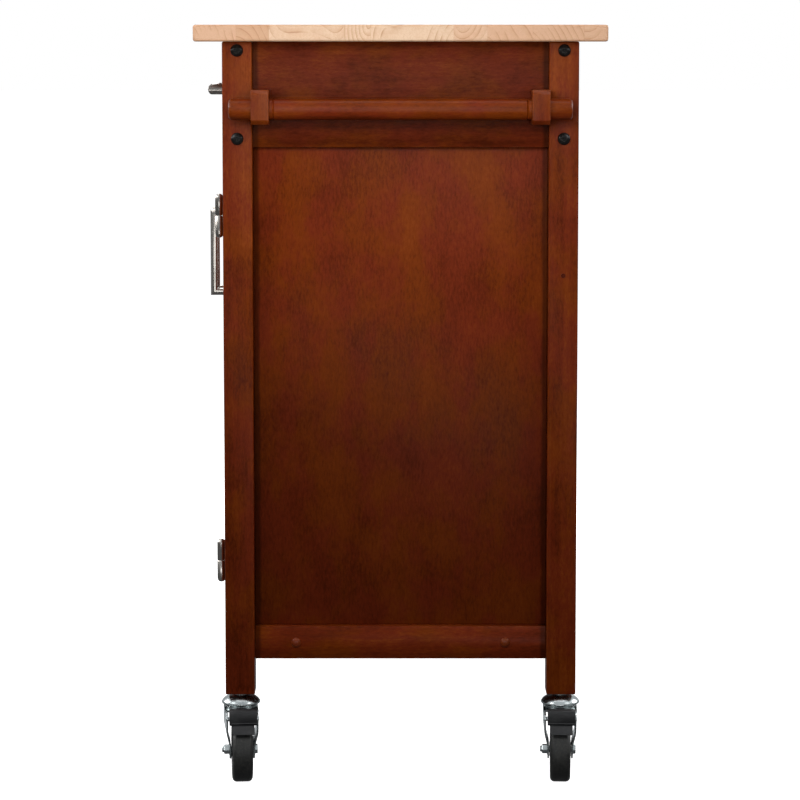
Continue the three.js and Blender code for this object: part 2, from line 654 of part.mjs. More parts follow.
// The brake pedal: a barrel on its pin, a tread plate to press, and a narrower shoe that follows the
// tyre. Its outline is about the pin, and its arcs are about the axle.
function pedalSolid() {
  const axle = [CASTER_TRAIL - PEDAL_PIVOT_REACH, -PEDAL_PIVOT_LIFT];
  const shoe = WHEEL_RADIUS + PEDAL_SHOE_GAP;
  const outer = shoe + PEDAL_THICKNESS;
  const plateLow = 52;
  const shoeLow = 35;
  const outline = [
    ...arc(...axle, shoe, plateLow, 62, 5),
    [-4.5, 1],
    [-5, 5.5],
    [-1, 11],
    [4, 12.5],
    [10, 9.5],
    ...arc(...axle, outer, plateLow + 2, plateLow, 1),
  ];
  const body = solid(sidePlate(outline, PEDAL_WIDTH));
  const barrel = solid(alongY(rod(PEDAL_PIN_RADIUS + PEDAL_BARREL_WALL, -PEDAL_WIDTH / 2, PEDAL_WIDTH / 2)));
  const tongue = [
    ...arc(...axle, shoe, shoeLow, plateLow + 2, 5),
    ...arc(...axle, outer - 0.5, plateLow + 2, shoeLow, 5),
  ];
  const bore = solid(alongY(rod(PEDAL_PIN_RADIUS + RUNNING_GAP, -PEDAL_WIDTH, PEDAL_WIDTH)));
  return body.add(barrel).add(solid(sidePlate(tongue, SHOE_WIDTH))).subtract(bore);
}

function casters() {
  const fork = geometryOf(forkSolid());
  const wheel = wheelGeometry();
  const pedal = geometryOf(pedalSolid());
  for (const [end, sx] of [["right", 1], ["left", -1]]) {
    for (const [side, sy] of [["front", -1], ["back", 1]]) {
      const group = new THREE.Group();
      group.position.set(sx * LEG_X, sy * LEG_Y, 0);
      cart.add(group);
      group.rotation.z = THREE.MathUtils.degToRad(CASTER_TURNS[`${side}_${end}`]);
      const name = `caster_${side}_${end}`;
      add(`${name}_fork`, fork, ZINC, group);
      add(`${name}_wheel`, wheel, TYRE, group).position.set(CASTER_TRAIL, 0, WHEEL_RADIUS);
      add(`${name}_pedal`, pedal, BLACK_PLASTIC, group).position.set(
        PEDAL_PIVOT_REACH,
        PEDAL_OFFSET,
        WHEEL_RADIUS + PEDAL_PIVOT_LIFT,
      );
    }
  }
}

// ---------- assembly ----------

worktop();
legs();
end("right", 1);
end("left", -1);
back();
faceFrame();
inside();
drawer("right", 1);
drawer("left", -1);
door("right", 1);
door("left", -1);
towelBar();
bolts();
casters();

// The origin is the middle of the footprint, which the towel-bar end's casters lengthen.
const footprint = new THREE.Box3().setFromObject(cart, true);
cart.position.x = -(footprint.min.x + footprint.max.x) / 2;

export default cart;
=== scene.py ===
"""Looks of the kitchen island cart: lights, camera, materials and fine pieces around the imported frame.
Metres, +Z up. The front is -Y, and the towel-bar end, which the camera faces, is +X."""
import json
import math
import random

import bmesh
import bpy
from mathutils import Matrix, Vector


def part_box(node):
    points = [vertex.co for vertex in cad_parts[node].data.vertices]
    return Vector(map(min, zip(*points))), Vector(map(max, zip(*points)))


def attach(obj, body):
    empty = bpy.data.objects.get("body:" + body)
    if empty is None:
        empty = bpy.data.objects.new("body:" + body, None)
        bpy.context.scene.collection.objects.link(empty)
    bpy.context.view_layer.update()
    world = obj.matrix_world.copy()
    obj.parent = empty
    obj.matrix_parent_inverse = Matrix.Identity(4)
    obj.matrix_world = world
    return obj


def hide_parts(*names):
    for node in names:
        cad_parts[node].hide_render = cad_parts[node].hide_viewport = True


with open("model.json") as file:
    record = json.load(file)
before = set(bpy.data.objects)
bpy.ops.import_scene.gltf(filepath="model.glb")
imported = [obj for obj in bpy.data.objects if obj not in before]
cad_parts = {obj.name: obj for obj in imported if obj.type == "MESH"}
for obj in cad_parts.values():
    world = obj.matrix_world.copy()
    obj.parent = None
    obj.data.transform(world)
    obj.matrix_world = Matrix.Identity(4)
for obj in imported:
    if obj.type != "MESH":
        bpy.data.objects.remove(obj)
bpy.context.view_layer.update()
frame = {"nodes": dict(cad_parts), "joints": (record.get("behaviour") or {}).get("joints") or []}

SIDES = ("front", "back")
ENDS = ("right", "left")


# ---------- places taken from the frame ----------

def centre(node):
    low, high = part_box(node)
    return (low + high) / 2


def anchor(joint):
    """The point that a joint turns about."""
    return Vector(next(j["pos_m"] for j in frame["joints"] if j["name"] == joint))


# ---------- camera, floor and light ----------

CAMERA_DISTANCE = 3.30  # from the towel-bar end's legs
CAMERA_HEIGHT = 0.860
CAMERA_PITCH = math.radians(5.61)  # downwards
VIEW_WIDTH = 0.9096  # seen at that distance
VIEW_SHIFT_X = -0.0007
VIEW_SHIFT_Y = -0.1017
SENSOR = 36.0


def make_camera():
    data = bpy.data.cameras.new("camera")
    data.sensor_width = SENSOR
    data.lens = SENSOR * CAMERA_DISTANCE / VIEW_WIDTH
    data.shift_x = VIEW_SHIFT_X
    data.shift_y = VIEW_SHIFT_Y
    data.clip_end = 100
    camera = bpy.data.objects.new("camera", data)
    leg_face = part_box("leg_front_right")[1].x
    camera.location = (leg_face + CAMERA_DISTANCE, 0, CAMERA_HEIGHT)
    camera.rotation_euler = (math.pi / 2 - CAMERA_PITCH, 0, math.pi / 2)
    bpy.context.scene.collection.objects.link(camera)
    bpy.context.scene.camera = camera


def softbox(name, place, target, width, height, power, mirrored=True):
    """A soft light. Where mirrored is off, shiny surfaces don't show it."""
    data = bpy.data.lights.new(name, "AREA")
    data.shape = "RECTANGLE"
    data.size = width
    data.size_y = height
    data.energy = power
    light = bpy.data.objects.new(name, data)
    light.visible_glossy = mirrored
    light.location = place
    light.rotation_euler = (Vector(target) - Vector(place)).to_track_quat("-Z", "Y").to_euler()
    bpy.context.scene.collection.objects.link(light)


def make_lights():
    end = Vector((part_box("leg_front_right")[1].x, 0, 0.62))
    softbox("key", (end.x + 0.65, -0.12, 0.90), (end.x, -0.12, 0.90), 0.7, 0.3, 3.5, mirrored=False)
    softbox("worktop_end", (end.x + 0.8, 0.15, 1.12), (end.x, 0.05, 0.90), 1.2, 0.2, 1.65, mirrored=False)
    softbox("key_left", (1.25, -1.35, 1.55), (end.x, 0, 1.3), 0.7, 0.9, 6)
    softbox("key_right", (1.25, 1.35, 1.55), (end.x, 0, 1.3), 0.7, 0.9, 4.5)
    softbox("low", (2.2, 0, 0.30), (end.x, 0, 0.0), 1.6, 0.3, 3.0)
    softbox("top", (-0.3, 0, 2.6), (-0.1, 0, 0.8), 2.2, 2.2, 24)
    softbox("front", (-0.4, -2.4, 1.5), (-0.2, 0, 0.45), 1.6, 1.2, 38)
    softbox("back", (-0.6, 2.5, 1.5), (-0.2, 0, 0.45), 1.6, 1.2, 38)
    softbox("far_end", (-2.5, 0.2, 1.5), (-0.4, 0, 0.5), 1.4, 1.2, 26)


# ---------- a short way to write node trees ----------

class Nodes:
    """One material's node tree. Each method adds a node and gives its output."""

    def __init__(self, name):
        self.material = bpy.data.materials.new(name)
        self.material.use_nodes = True
        self.tree = self.material.node_tree
        self.tree.nodes.clear()
        self.shader = self.tree.nodes.new("ShaderNodeBsdfPrincipled")
        output = self.tree.nodes.new("ShaderNodeOutputMaterial")
        self.tree.links.new(self.shader.outputs[0], output.inputs[0])

    def node(self, kind, inputs, **settings):
        made = self.tree.nodes.new(kind)
        for key, value in settings.items():
            setattr(made, key, value)
        for key, value in inputs.items():
            self.put(made.inputs[key], value)
        return made

    def put(self, socket, value):
        if isinstance(value, bpy.types.NodeSocket):
            self.tree.links.new(value, socket)
        elif isinstance(value, (int, float)) or socket.type == "VECTOR":
            socket.default_value = value
        else:
            socket.default_value = (*value, 1) if len(value) == 3 else value

    def set(self, **values):
        """Sets the shader's sockets, with _ for a space in a socket's name."""
        for key, value in values.items():
            self.put(self.shader.inputs[key.replace("_", " ")], value)

    def place(self):
        return self.node("ShaderNodeTexCoord", {}).outputs["Object"]

    def math(self, operation, a, b=0.0, c=0.0):
        return self.node("ShaderNodeMath", {0: a, 1: b, 2: c}, operation=operation).outputs[0]

    def vector(self, operation, a, b=(0, 0, 0)):
        made = self.node("ShaderNodeVectorMath", {0: a, 1: b}, operation=operation)
        return made.outputs["Value" if operation == "LENGTH" else "Vector"]

    def split(self, vector):
        return self.node("ShaderNodeSeparateXYZ", {0: vector}).outputs

    def combine(self, x=0.0, y=0.0, z=0.0):
        return self.node("ShaderNodeCombineXYZ", {0: x, 1: y, 2: z}).outputs[0]

    def noise(self, vector, scale=1.0, detail=3.0, roughness=0.5):
        inputs = {"Vector": vector, "Scale": scale, "Detail": detail, "Roughness": roughness}
        return self.node("ShaderNodeTexNoise", inputs).outputs[0]

    def random(self, value):
        return self.node("ShaderNodeTexWhiteNoise", {"W": value}, noise_dimensions="1D").outputs["Value"]

    def smooth(self, value, low, high, to_low=0.0, to_high=1.0):
        inputs = {0: value, 1: low, 2: high, 3: to_low, 4: to_high}
        return self.node("ShaderNodeMapRange", inputs, interpolation_type="SMOOTHSTEP").outputs[0]

    def mix(self, factor, a, b, blend="MIX"):
        made = self.node("ShaderNodeMix", {0: factor}, data_type="RGBA", blend_type=blend)
        self.put(made.inputs[6], a)
        self.put(made.inputs[7], b)
        return made.outputs[2]

    def bump(self, height, distance, strength=1.0):
        inputs = {"Height": height, "Distance": distance, "Strength": strength}
        self.put(self.shader.inputs["Normal"], self.node("ShaderNodeBump", inputs).outputs[0])

    def scaled(self, vector, factors):
        return self.vector("MULTIPLY", vector, factors)


# ---------- wood ----------

def along_grain(nodes, point, axis, shift):
    """The point with its grain axis first, moved by a shift that no two boards share."""
    x, y, z = nodes.split(point)
    turned = {"X": (x, y, z), "Y": (y, x, z), "Z": (z, x, y)}[axis]
    return nodes.vector("ADD", nodes.combine(*turned), shift)


def edge_distance(nodes, point, low, high):
    """How far a point on a board's face lies from the board's nearest edge."""
    a = nodes.split(nodes.vector("SUBTRACT", point, tuple(low)))
    b = nodes.split(nodes.vector("SUBTRACT", tuple(high), point))
    x, y, z = (nodes.math("ABSOLUTE", nodes.math("MINIMUM", a[i], b[i])) for i in range(3))
    larger = nodes.math("MINIMUM", nodes.math("MAXIMUM", x, y), z)
    return nodes.math("MAXIMUM", nodes.math("MINIMUM", x, y), larger)


def growth_rings(nodes, grain, spacing, waver, pith):
    """0 to 1 across each growth ring, for rings about a pith line beside the board."""
    wave = nodes.noise(nodes.scaled(grain, (2.2, 11, 11)), detail=2)
    _, across, depth = nodes.split(grain)
    from_pith = nodes.combine(0.0, nodes.math("ADD", across, pith[0]), nodes.math("ADD", depth, pith[1]))
    radius = nodes.vector("LENGTH", from_pith)
    radius = nodes.math("MULTIPLY_ADD", wave, waver, radius)
    return nodes.math("PINGPONG", nodes.math("DIVIDE", radius, spacing), 1.0)


STAIN_DARK = (0.078, 0.0098, 0.0008)
STAIN_ORANGE = (0.172, 0.0290, 0.0014)
STAIN_RED = (0.165, 0.0205, 0.0042)
STAIN_LIGHT = (0.250, 0.0500, 0.0050)
STAIN_WORN = (0.30, 0.080, 0.026)
# Painted shade: the dark colour laid along board ends beside the proud legs.
PAINTED_SHADE_DARK = (0.020, 0.0040, 0.0004)
FINGER_LENGTH = 0.007
FINGER_PITCH = 0.006


def stained_wood(name, axis, low, high, number, block=None, tone=1.0, painted_shade_axes="", figure=1.0, cloud=0.8,
                 painted_falloff=1.0, gloss=0.02):
    """Stained and lacquered wood for one board. block is the length of its finger-jointed blocks,
    where one joint lies and how much the blocks differ. tone multiplies its colour. corner names the
    axes whose board ends meet a proud leg; the colour there is darkened as painted shade of the leg.
    figure is the strength of its streaks, weak on veneer, and cloud that of its clouds. fade multiplies
    the colour at its lower end as painted shade of the light falling off, and gloss is the weight of
    its lacquer."""
    nodes = Nodes(name)
    point = nodes.place()
    chance = random.Random(number)
    shift = tuple(chance.uniform(1, 9) for _ in range(3))
    grain = along_grain(nodes, point, axis, shift)
    pith = (chance.uniform(0.02, 0.05) - shift[1], chance.uniform(0.03, 0.08) - shift[2])
    rings = growth_rings(nodes, grain, chance.uniform(0.005, 0.008), 0.012, pith)
    streaks = nodes.noise(nodes.scaled(grain, (9, 170, 170)), detail=4, roughness=0.62)
    mottle = nodes.noise(nodes.scaled(grain, (16, 24, 24)), detail=4, roughness=0.55)
    elsewhere = nodes.vector("ADD", nodes.scaled(grain, (12, 20, 20)), (7, 3, 5))
    hue = nodes.noise(elsewhere, detail=4, roughness=0.6)
    speckle = nodes.noise(nodes.scaled(grain, (140, 430, 430)), detail=4, roughness=0.75)
    pores = nodes.smooth(nodes.noise(nodes.scaled(grain, (130, 1500, 1500)), detail=2), 0.57, 0.68)

    # How light the stain is. figure and cloud change how much it varies, and hardly its mean.
    level = nodes.math("MULTIPLY_ADD", streaks, 0.55 * figure, 0.275 * (1 - figure))
    level = nodes.math("MULTIPLY_ADD", mottle, cloud, nodes.math("ADD", level, 0.475 - 0.5 * cloud))
    level = nodes.math("MULTIPLY_ADD", rings, 0.10 * figure, level)
    level = nodes.math("MULTIPLY_ADD", speckle, 0.8, nodes.math("SUBTRACT", level, 0.355))
    if block:
        length, joint, contrast = block
        x, y, z = nodes.split(point)
        run, side = {"X": (x, z), "Y": (y, z), "Z": (z, y)}[axis]
        comb = nodes.math("PINGPONG", nodes.math("DIVIDE", side, FINGER_PITCH / 2), 1.0)
        run = nodes.math("MULTIPLY_ADD", comb, FINGER_LENGTH, nodes.math("SUBTRACT", run, joint))
        cell = nodes.math("FLOOR", nodes.math("DIVIDE", run, length))
        tint = nodes.math("MULTIPLY", nodes.random(nodes.math("ADD", cell, float(number))), 0.4)
        odd = nodes.math("FLOORED_MODULO", cell, 2.0)
        tint = nodes.math("MULTIPLY_ADD", odd, -0.6, tint)
        level = nodes.math("MULTIPLY_ADD", tint, contrast, nodes.math("ADD", level, 0.1 * contrast))
    darker = nodes.smooth(level, 0.45, 0.92)
    lighter = nodes.smooth(level, 0.82, 1.30)
    base = nodes.mix(nodes.smooth(hue, 0.40, 0.60), STAIN_ORANGE, STAIN_RED)
    colour = nodes.mix(darker, STAIN_DARK, base)
    colour = nodes.mix(lighter, colour, STAIN_LIGHT)
    colour = nodes.mix(nodes.math("MULTIPLY", pores, 0.38), colour, STAIN_DARK)

    edge = edge_distance(nodes, point, low, high)
    ragged = nodes.noise(point, scale=90, detail=3)
    worn = nodes.smooth(edge, 0.0, 0.0018, 1.0, 0.0)
    worn = nodes.math("MULTIPLY", worn, nodes.smooth(ragged, 0.45, 0.75, 0.05, 0.50))
    colour = nodes.mix(worn, colour, STAIN_WORN)
    # Painted shade: within about 8 mm of the named board ends the colour darkens, where the proud legs would
    # shade the board.
    for letter in painted_shade_axes:
        i = "XYZ".index(letter)
        value = nodes.split(point)[i]
        from_low = nodes.math("SUBTRACT", value, low[i])
        from_high = nodes.math("SUBTRACT", high[i], value)
        near = nodes.math("MINIMUM", from_low, from_high)
        near = nodes.math("MULTIPLY_ADD", nodes.math("SUBTRACT", mottle, 0.5), 0.004, near)
        painted_leg_shade = nodes.smooth(near, 0.0042, 0.0085, 0.62, 0.0)
        colour = nodes.mix(painted_leg_shade, colour, PAINTED_SHADE_DARK)
    # Painted shade: the board darkens towards its lower end, standing in for the light that falls off towards
    # the floor.
    if painted_falloff != 1.0:
        height = nodes.split(point)[2]
        height = nodes.math("MULTIPLY_ADD", nodes.math("SUBTRACT", hue, 0.5), 0.10, height)
        rise = high[2] - low[2]
        falloff_shade = nodes.smooth(height, low[2] + 0.35 * rise, low[2] + 0.78 * rise, painted_falloff, 1.0)
        colour = nodes.mix(1.0, colour, nodes.combine(falloff_shade, falloff_shade, falloff_shade), "MULTIPLY")
    if tone != 1.0:
        colour = nodes.mix(1.0, colour, (tone, tone, tone), "MULTIPLY")

    polish = nodes.smooth(mottle, 0.3, 0.7, 0.30, 0.42)
    height = nodes.math("MULTIPLY_ADD", pores, -0.8, nodes.math("MULTIPLY", speckle, 0.5))
    nodes.bump(height, 0.00022, 0.5)
    nodes.set(Base_Color=colour, Roughness=polish, Specular_IOR_Level=0.08)
    nodes.set(Coat_Weight=gloss, Coat_Roughness=0.24)
    return nodes.material


TOP_PALE = (0.78, 0.560, 0.385)
TOP_PINK = (0.70, 0.430, 0.275)
TOP_TAN = (0.60, 0.340, 0.190)
TOP_LINE = (0.42, 0.155, 0.055)
STAVE_WIDTH = 0.055
STAVE_BLOCK = 0.34


def top_wood(name, low, high):
    """Glued staves of light hardwood that run along X, with ring arcs on their ends and streaks on top."""
    nodes = Nodes(name)
    point = nodes.place()
    x, y, z = nodes.split(point)
    drift = nodes.noise(nodes.combine(y, 3.0, 0.0), scale=9, detail=1)
    across = nodes.math("MULTIPLY_ADD", drift, 2.6, nodes.math("DIVIDE", y, STAVE_WIDTH))
    stave = nodes.math("FLOOR", across)
    inside = nodes.math("SUBTRACT", across, stave)
    comb = nodes.math("PINGPONG", nodes.math("DIVIDE", y, FINGER_PITCH / 2), 1.0)
    run = nodes.math("MULTIPLY_ADD", comb, FINGER_LENGTH, x)
    along = nodes.math("MULTIPLY_ADD", nodes.random(stave), 7.0, nodes.math("DIVIDE", run, STAVE_BLOCK))
    block = nodes.math("FLOOR", along)
    key = nodes.math("MULTIPLY_ADD", stave, 17.31, block)
    chance, chance_two, chance_three, chance_four = (
        nodes.random(nodes.math("ADD", key, step)) for step in (0.0, 3.7, 9.2, 14.6)
    )

    waver = nodes.noise(
        nodes.combine(nodes.math("MULTIPLY", x, 1.2), y, nodes.math("MULTIPLY_ADD", chance, 5.0, z)),
        scale=26, detail=2,
    )
    pith_y = nodes.math("MULTIPLY", nodes.math("SUBTRACT", chance_two, 0.5), 0.090)
    middle = nodes.math("MULTIPLY_ADD", nodes.math("SUBTRACT", inside, 0.5), STAVE_WIDTH, pith_y)
    sign = nodes.math("SIGN", nodes.math("SUBTRACT", chance, 0.5))
    pith_z = nodes.math("MULTIPLY", sign, nodes.math("MULTIPLY_ADD", chance_three, 0.030, 0.009))
    depth = nodes.math("SUBTRACT", nodes.math("SUBTRACT", z, (low[2] + high[2]) / 2), pith_z)
    radius = nodes.vector("LENGTH", nodes.combine(0.0, middle, depth))
    radius = nodes.math("MULTIPLY_ADD", waver, 0.0080, radius)
    spacing = nodes.math("MULTIPLY_ADD", chance_four, 0.0060, 0.0045)
    ring = nodes.math("FRACT", nodes.math("DIVIDE", radius, spacing))
    late = nodes.math("MULTIPLY", nodes.smooth(ring, 0.30, 0.93), nodes.smooth(ring, 0.95, 1.0, 1.0, 0.0))
    strength = nodes.smooth(nodes.noise(nodes.scaled(point, (4, 40, 40)), detail=2), 0.40, 0.62, 0.0, 1.0)
    late = nodes.math("MULTIPLY", late, strength)
    fibre = nodes.noise(nodes.scaled(point, (9, 420, 420)), detail=3)
    pores = nodes.smooth(nodes.noise(nodes.scaled(point, (120, 1500, 1500)), detail=2), 0.58, 0.68)
    mottle = nodes.noise(nodes.scaled(point, (7, 60, 60)), detail=3)

    tint = nodes.math("MULTIPLY_ADD", nodes.math("SUBTRACT", mottle, 0.5), 0.9, chance_two)
    colour = nodes.mix(nodes.smooth(tint, 0.1, 0.9), TOP_PALE, TOP_PINK)
    colour = nodes.mix(nodes.smooth(chance_three, 0.70, 1.0, 0.0, 0.45), colour, TOP_TAN)
    colour = nodes.mix(nodes.smooth(fibre, 0.40, 0.70, 0.0, 0.22), colour, TOP_TAN)
    colour = nodes.mix(nodes.math("MULTIPLY", late, 0.50), colour, TOP_TAN)
    line = nodes.math("MULTIPLY", nodes.smooth(ring, 0.80, 0.94), nodes.smooth(ring, 0.96, 1.0, 1.0, 0.0))
    colour = nodes.mix(nodes.math("MULTIPLY", nodes.math("MULTIPLY", line, strength), 0.42), colour, TOP_LINE)
    colour = nodes.mix(nodes.math("MULTIPLY", pores, 0.26), colour, TOP_LINE)

    seam = nodes.math("MINIMUM", inside, nodes.math("SUBTRACT", 1.0, inside))
    seam = nodes.smooth(seam, 0.0, 0.008, 0.25, 0.0)
    fraction = nodes.math("SUBTRACT", along, block)
    butt = nodes.math("MINIMUM", fraction, nodes.math("SUBTRACT", 1.0, fraction))
    butt = nodes.smooth(butt, 0.0, 0.0012, 0.40, 0.0)
    colour = nodes.mix(nodes.math("MAXIMUM", seam, butt), colour, TOP_LINE)
    edge = edge_distance(nodes, point, low, high)
    # The colour darkens towards TOP_LINE within 2.8 mm of each edge.
    edge_outline = nodes.smooth(edge, 0.0, 0.0028, 0.42, 0.0)
    colour = nodes.mix(edge_outline, colour, TOP_LINE)

    polish = nodes.math("MULTIPLY_ADD", mottle, 0.18, 0.34)
    nodes.bump(nodes.math("MULTIPLY_ADD", pores, -1.0, nodes.math("MULTIPLY", fibre, 0.4)), 0.0002, 0.5)
    nodes.set(Base_Color=colour, Roughness=polish, Specular_IOR_Level=0.25)
    return nodes.material


def drawer_wood(name, number):
    """Unfinished pale wood of the drawer boxes."""
    nodes = Nodes(name)
    grain = nodes.vector("ADD", nodes.place(), (number, number, number))
    streaks = nodes.noise(nodes.scaled(grain, (60, 9, 170)), detail=4)
    pores = nodes.smooth(nodes.noise(nodes.scaled(grain, (900, 160, 1900)), detail=2), 0.58, 0.72)
    colour = nodes.mix(nodes.smooth(streaks, 0.3, 0.7), (0.66, 0.48, 0.29), (0.52, 0.35, 0.19))
    colour = nodes.mix(nodes.math("MULTIPLY", pores, 0.5), colour, (0.33, 0.20, 0.10))
    nodes.bump(nodes.math("MULTIPLY_ADD", pores, -1.0, streaks), 0.0002, 0.6)
    roughness = nodes.smooth(streaks, 0.3, 0.7, 0.55, 0.72)
    nodes.set(Base_Color=colour, Roughness=roughness, Specular_IOR_Level=0.3)
    return nodes.material


# ---------- metal, plastic and rubber ----------

def brushed_nickel(name, axis):
    """Nickel plate with fine brush lines along one axis."""
    nodes = Nodes(name)
    stretch = {"X": (60, 2600, 2600), "Y": (2600, 60, 2600), "Z": (2600, 2600, 60)}[axis]
    point = nodes.place()
    brush = nodes.noise(nodes.scaled(point, stretch), detail=2, roughness=0.5)
    film = nodes.noise(point, scale=55, detail=3)
    colour = nodes.mix(nodes.smooth(film, 0.3, 0.75), (0.70, 0.655, 0.60), (0.56, 0.515, 0.465))
    colour = nodes.mix(nodes.math("MULTIPLY", brush, 0.25), colour, (0.30, 0.27, 0.24))
    nodes.bump(brush, 0.000012, 0.4)
    roughness = nodes.math("MULTIPLY_ADD", brush, 0.08, nodes.smooth(film, 0.3, 0.7, 0.15, 0.21))
    nodes.set(Base_Color=colour, Metallic=1.0, Roughness=roughness)
    return nodes.material


def zinc_plate(name):
    """Bright zinc plate with cloudy tarnish and scuffs."""
    nodes = Nodes(name)
    point = nodes.place()
    cloud = nodes.noise(point, scale=70, detail=4, roughness=0.6)
    scuff = nodes.smooth(nodes.noise(nodes.scaled(point, (260, 900, 1400)), detail=3), 0.58, 0.75)
    colour = nodes.mix(nodes.smooth(cloud, 0.35, 0.7), (0.62, 0.66, 0.66), (0.44, 0.48, 0.48))
    colour = nodes.mix(nodes.math("MULTIPLY", scuff, 0.5), colour, (0.36, 0.36, 0.36))
    nodes.bump(nodes.math("ADD", nodes.math("MULTIPLY", cloud, 0.5), scuff), 0.00003, 0.4)
    roughness = nodes.math("MULTIPLY_ADD", scuff, 0.2, nodes.smooth(cloud, 0.3, 0.7, 0.14, 0.30))
    nodes.set(Base_Color=colour, Metallic=1.0, Roughness=roughness)
    return nodes.material


def black_oxide(name):
    """Blackened steel with the shine of handling on its high spots."""
    nodes = Nodes(name)
    point = nodes.place()
    speckle = nodes.noise(point, scale=900, detail=3)
    patch = nodes.noise(point, scale=160, detail=2)
    colour = nodes.mix(nodes.smooth(speckle, 0.45, 0.75), (0.008, 0.007, 0.006), (0.032, 0.028, 0.025))
    nodes.bump(speckle, 0.00008, 0.5)
    nodes.set(Base_Color=colour, Metallic=0.3, Roughness=nodes.smooth(patch, 0.3, 0.7, 0.14, 0.24))
    return nodes.material


def moulded_plastic(name):
    """Black nylon with a fine spark-eroded grain and dusty wear."""
    nodes = Nodes(name)
    point = nodes.place()
    grain = nodes.noise(point, scale=1500, detail=2)
    dust = nodes.noise(point, scale=60, detail=4, roughness=0.65)
    colour = nodes.mix(nodes.smooth(dust, 0.45, 0.8), (0.011, 0.011, 0.012), (0.034, 0.034, 0.035))
    nodes.bump(grain, 0.00010, 0.5)
    nodes.set(Base_Color=colour, Roughness=nodes.smooth(dust, 0.3, 0.75, 0.34, 0.55))
    return nodes.material


def tyre_rubber(name, hub):
    """Moulded rubber about a wheel's hub, scuffed and dusty on its tread."""
    nodes = Nodes(name)
    point = nodes.place()
    x, _, z = nodes.split(nodes.vector("SUBTRACT", point, tuple(hub)))
    radius = nodes.vector("LENGTH", nodes.combine(x, 0.0, z))
    tread = nodes.smooth(radius, 0.030, 0.0372)
    angle = nodes.math("ARCTAN2", z, x)
    across = nodes.math("MULTIPLY", nodes.split(point)[1], 420)
    along = nodes.combine(nodes.math("MULTIPLY", angle, 12), across)
    scuff = nodes.noise(along, scale=1.0, detail=4, roughness=0.65)
    dust = nodes.noise(point, scale=85, detail=4, roughness=0.6)
    colour = nodes.mix(nodes.smooth(dust, 0.4, 0.8), (0.018, 0.0185, 0.0175), (0.040, 0.040, 0.037))
    scuffed = nodes.math("MULTIPLY", tread, nodes.smooth(scuff, 0.4, 0.7))
    colour = nodes.mix(nodes.math("MULTIPLY", scuffed, 0.6), colour, (0.062, 0.060, 0.055))
    nodes.bump(nodes.math("MULTIPLY_ADD", scuffed, 0.6, dust), 0.00012, 0.5)
    nodes.set(Base_Color=colour, Roughness=nodes.smooth(scuff, 0.3, 0.7, 0.42, 0.60))
    return nodes.material


# ---------- meshes ----------

def lathe(profile, steps=48):
    """(points, faces) of [radius, height] points turned about Z. Points on the axis close it."""
    points, rows = [], []
    for radius, height in profile:
        if radius < 1e-7:
            rows.append([len(points)] * steps)
            points.append(Vector((0, 0, height)))
            continue
        rows.append(list(range(len(points), len(points) + steps)))
        for i in range(steps):
            angle = 2 * math.pi * i / steps
            points.append(Vector((radius * math.cos(angle), radius * math.sin(angle), height)))
    faces = []
    for lower, upper in zip(rows, rows[1:]):
        for i in range(steps):
            j = (i + 1) % steps
            corners = [lower[i], lower[j], upper[j], upper[i]]
            face = [c for n, c in enumerate(corners) if c not in corners[:n]]
            if len(face) > 2:
                faces.append(face)
    return points, faces


def prism(outline, low, high, axis="Z"):
    """(points, faces) of an outline pushed along Z or Y. Along Z it holds x and y, along Y x and z."""
    def stand(a, b, h):
        return Vector((a, h, b) if axis == "Y" else (a, b, h))

    count = len(outline)
    points = [stand(a, b, h) for h in (low, high) for a, b in outline]
    faces = [list(range(count))[::-1], list(range(count, 2 * count))]
    for i in range(count):
        j = (i + 1) % count
        faces.append([i, j, count + j, count + i])
    return points, faces


def block(low, high):
    (x0, y0, z0), (x1, y1, z1) = low, high
    return prism([(x0, y0), (x1, y0), (x1, y1), (x0, y1)], z0, z1)


def moved(shape, matrix):
    points, faces = shape
    return [matrix @ p for p in points], faces


def shifted(shape, offset):
    return moved(shape, Matrix.Translation(offset))


def facing(shape, direction):
    """Turns a shape made about +Z so that its top looks along a direction."""
    return moved(shape, Vector(direction).to_track_quat("Z", "Y").to_matrix().to_4x4())


def joined(*shapes):
    points, faces = [], []
    for more_points, more_faces in shapes:
        faces += [[i + len(points) for i in face] for face in more_faces]
        points += more_points
    return points, faces


def arc(x, y, radius, start, end, steps):
    """Points of an arc between two angles in degrees."""
    angles = (math.radians(start + (end - start) * i / steps) for i in range(steps + 1))
    return [(x + radius * math.cos(a), y + radius * math.sin(a)) for a in angles]


SHARP = math.radians(34)  # edges that turn by more are shaded sharp, and are the ones a bevel rounds
BEVEL_SEGMENTS = 3


def shade(mesh):
    mesh.shade_smooth()
    mesh.set_sharp_from_angle(angle=SHARP)


def bevel(target, width):
    modifier = target.modifiers.new("bevel", "BEVEL")
    modifier.width = width
    modifier.segments = BEVEL_SEGMENTS
    modifier.limit_method = "ANGLE"
    modifier.angle_limit = SHARP
    modifier.harden_normals = True


def piece(name, shape, material, body, rounding=0.0, stands_for=()):
    """A new piece of the cart that rides on a body."""
    mesh = bpy.data.meshes.new(name)
    points, faces = shape
    mesh.from_pydata([tuple(p) for p in points], [], faces)
    work = bmesh.new()
    work.from_mesh(mesh)
    bmesh.ops.recalc_face_normals(work, faces=work.faces)
    work.to_mesh(mesh)
    work.free()
    mesh.materials.append(material)
    shade(mesh)
    made = bpy.data.objects.new(name, mesh)
    bpy.context.scene.collection.objects.link(made)
    if rounding:
        bevel(made, rounding)
    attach(made, body)
    if stands_for:
        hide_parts(*stands_for)
    return made


def dress(node, material, rounding=0.0):
    """Gives a CAD node its material and rounds its edges."""
    made = frame["nodes"][node]
    made.data.materials.clear()
    made.data.materials.append(material)
    shade(made.data)
    if rounding:
        weld = made.modifiers.new("weld", "WELD")
        weld.merge_threshold = WELD_DISTANCE
        bevel(made, rounding)


# ---------- boards ----------

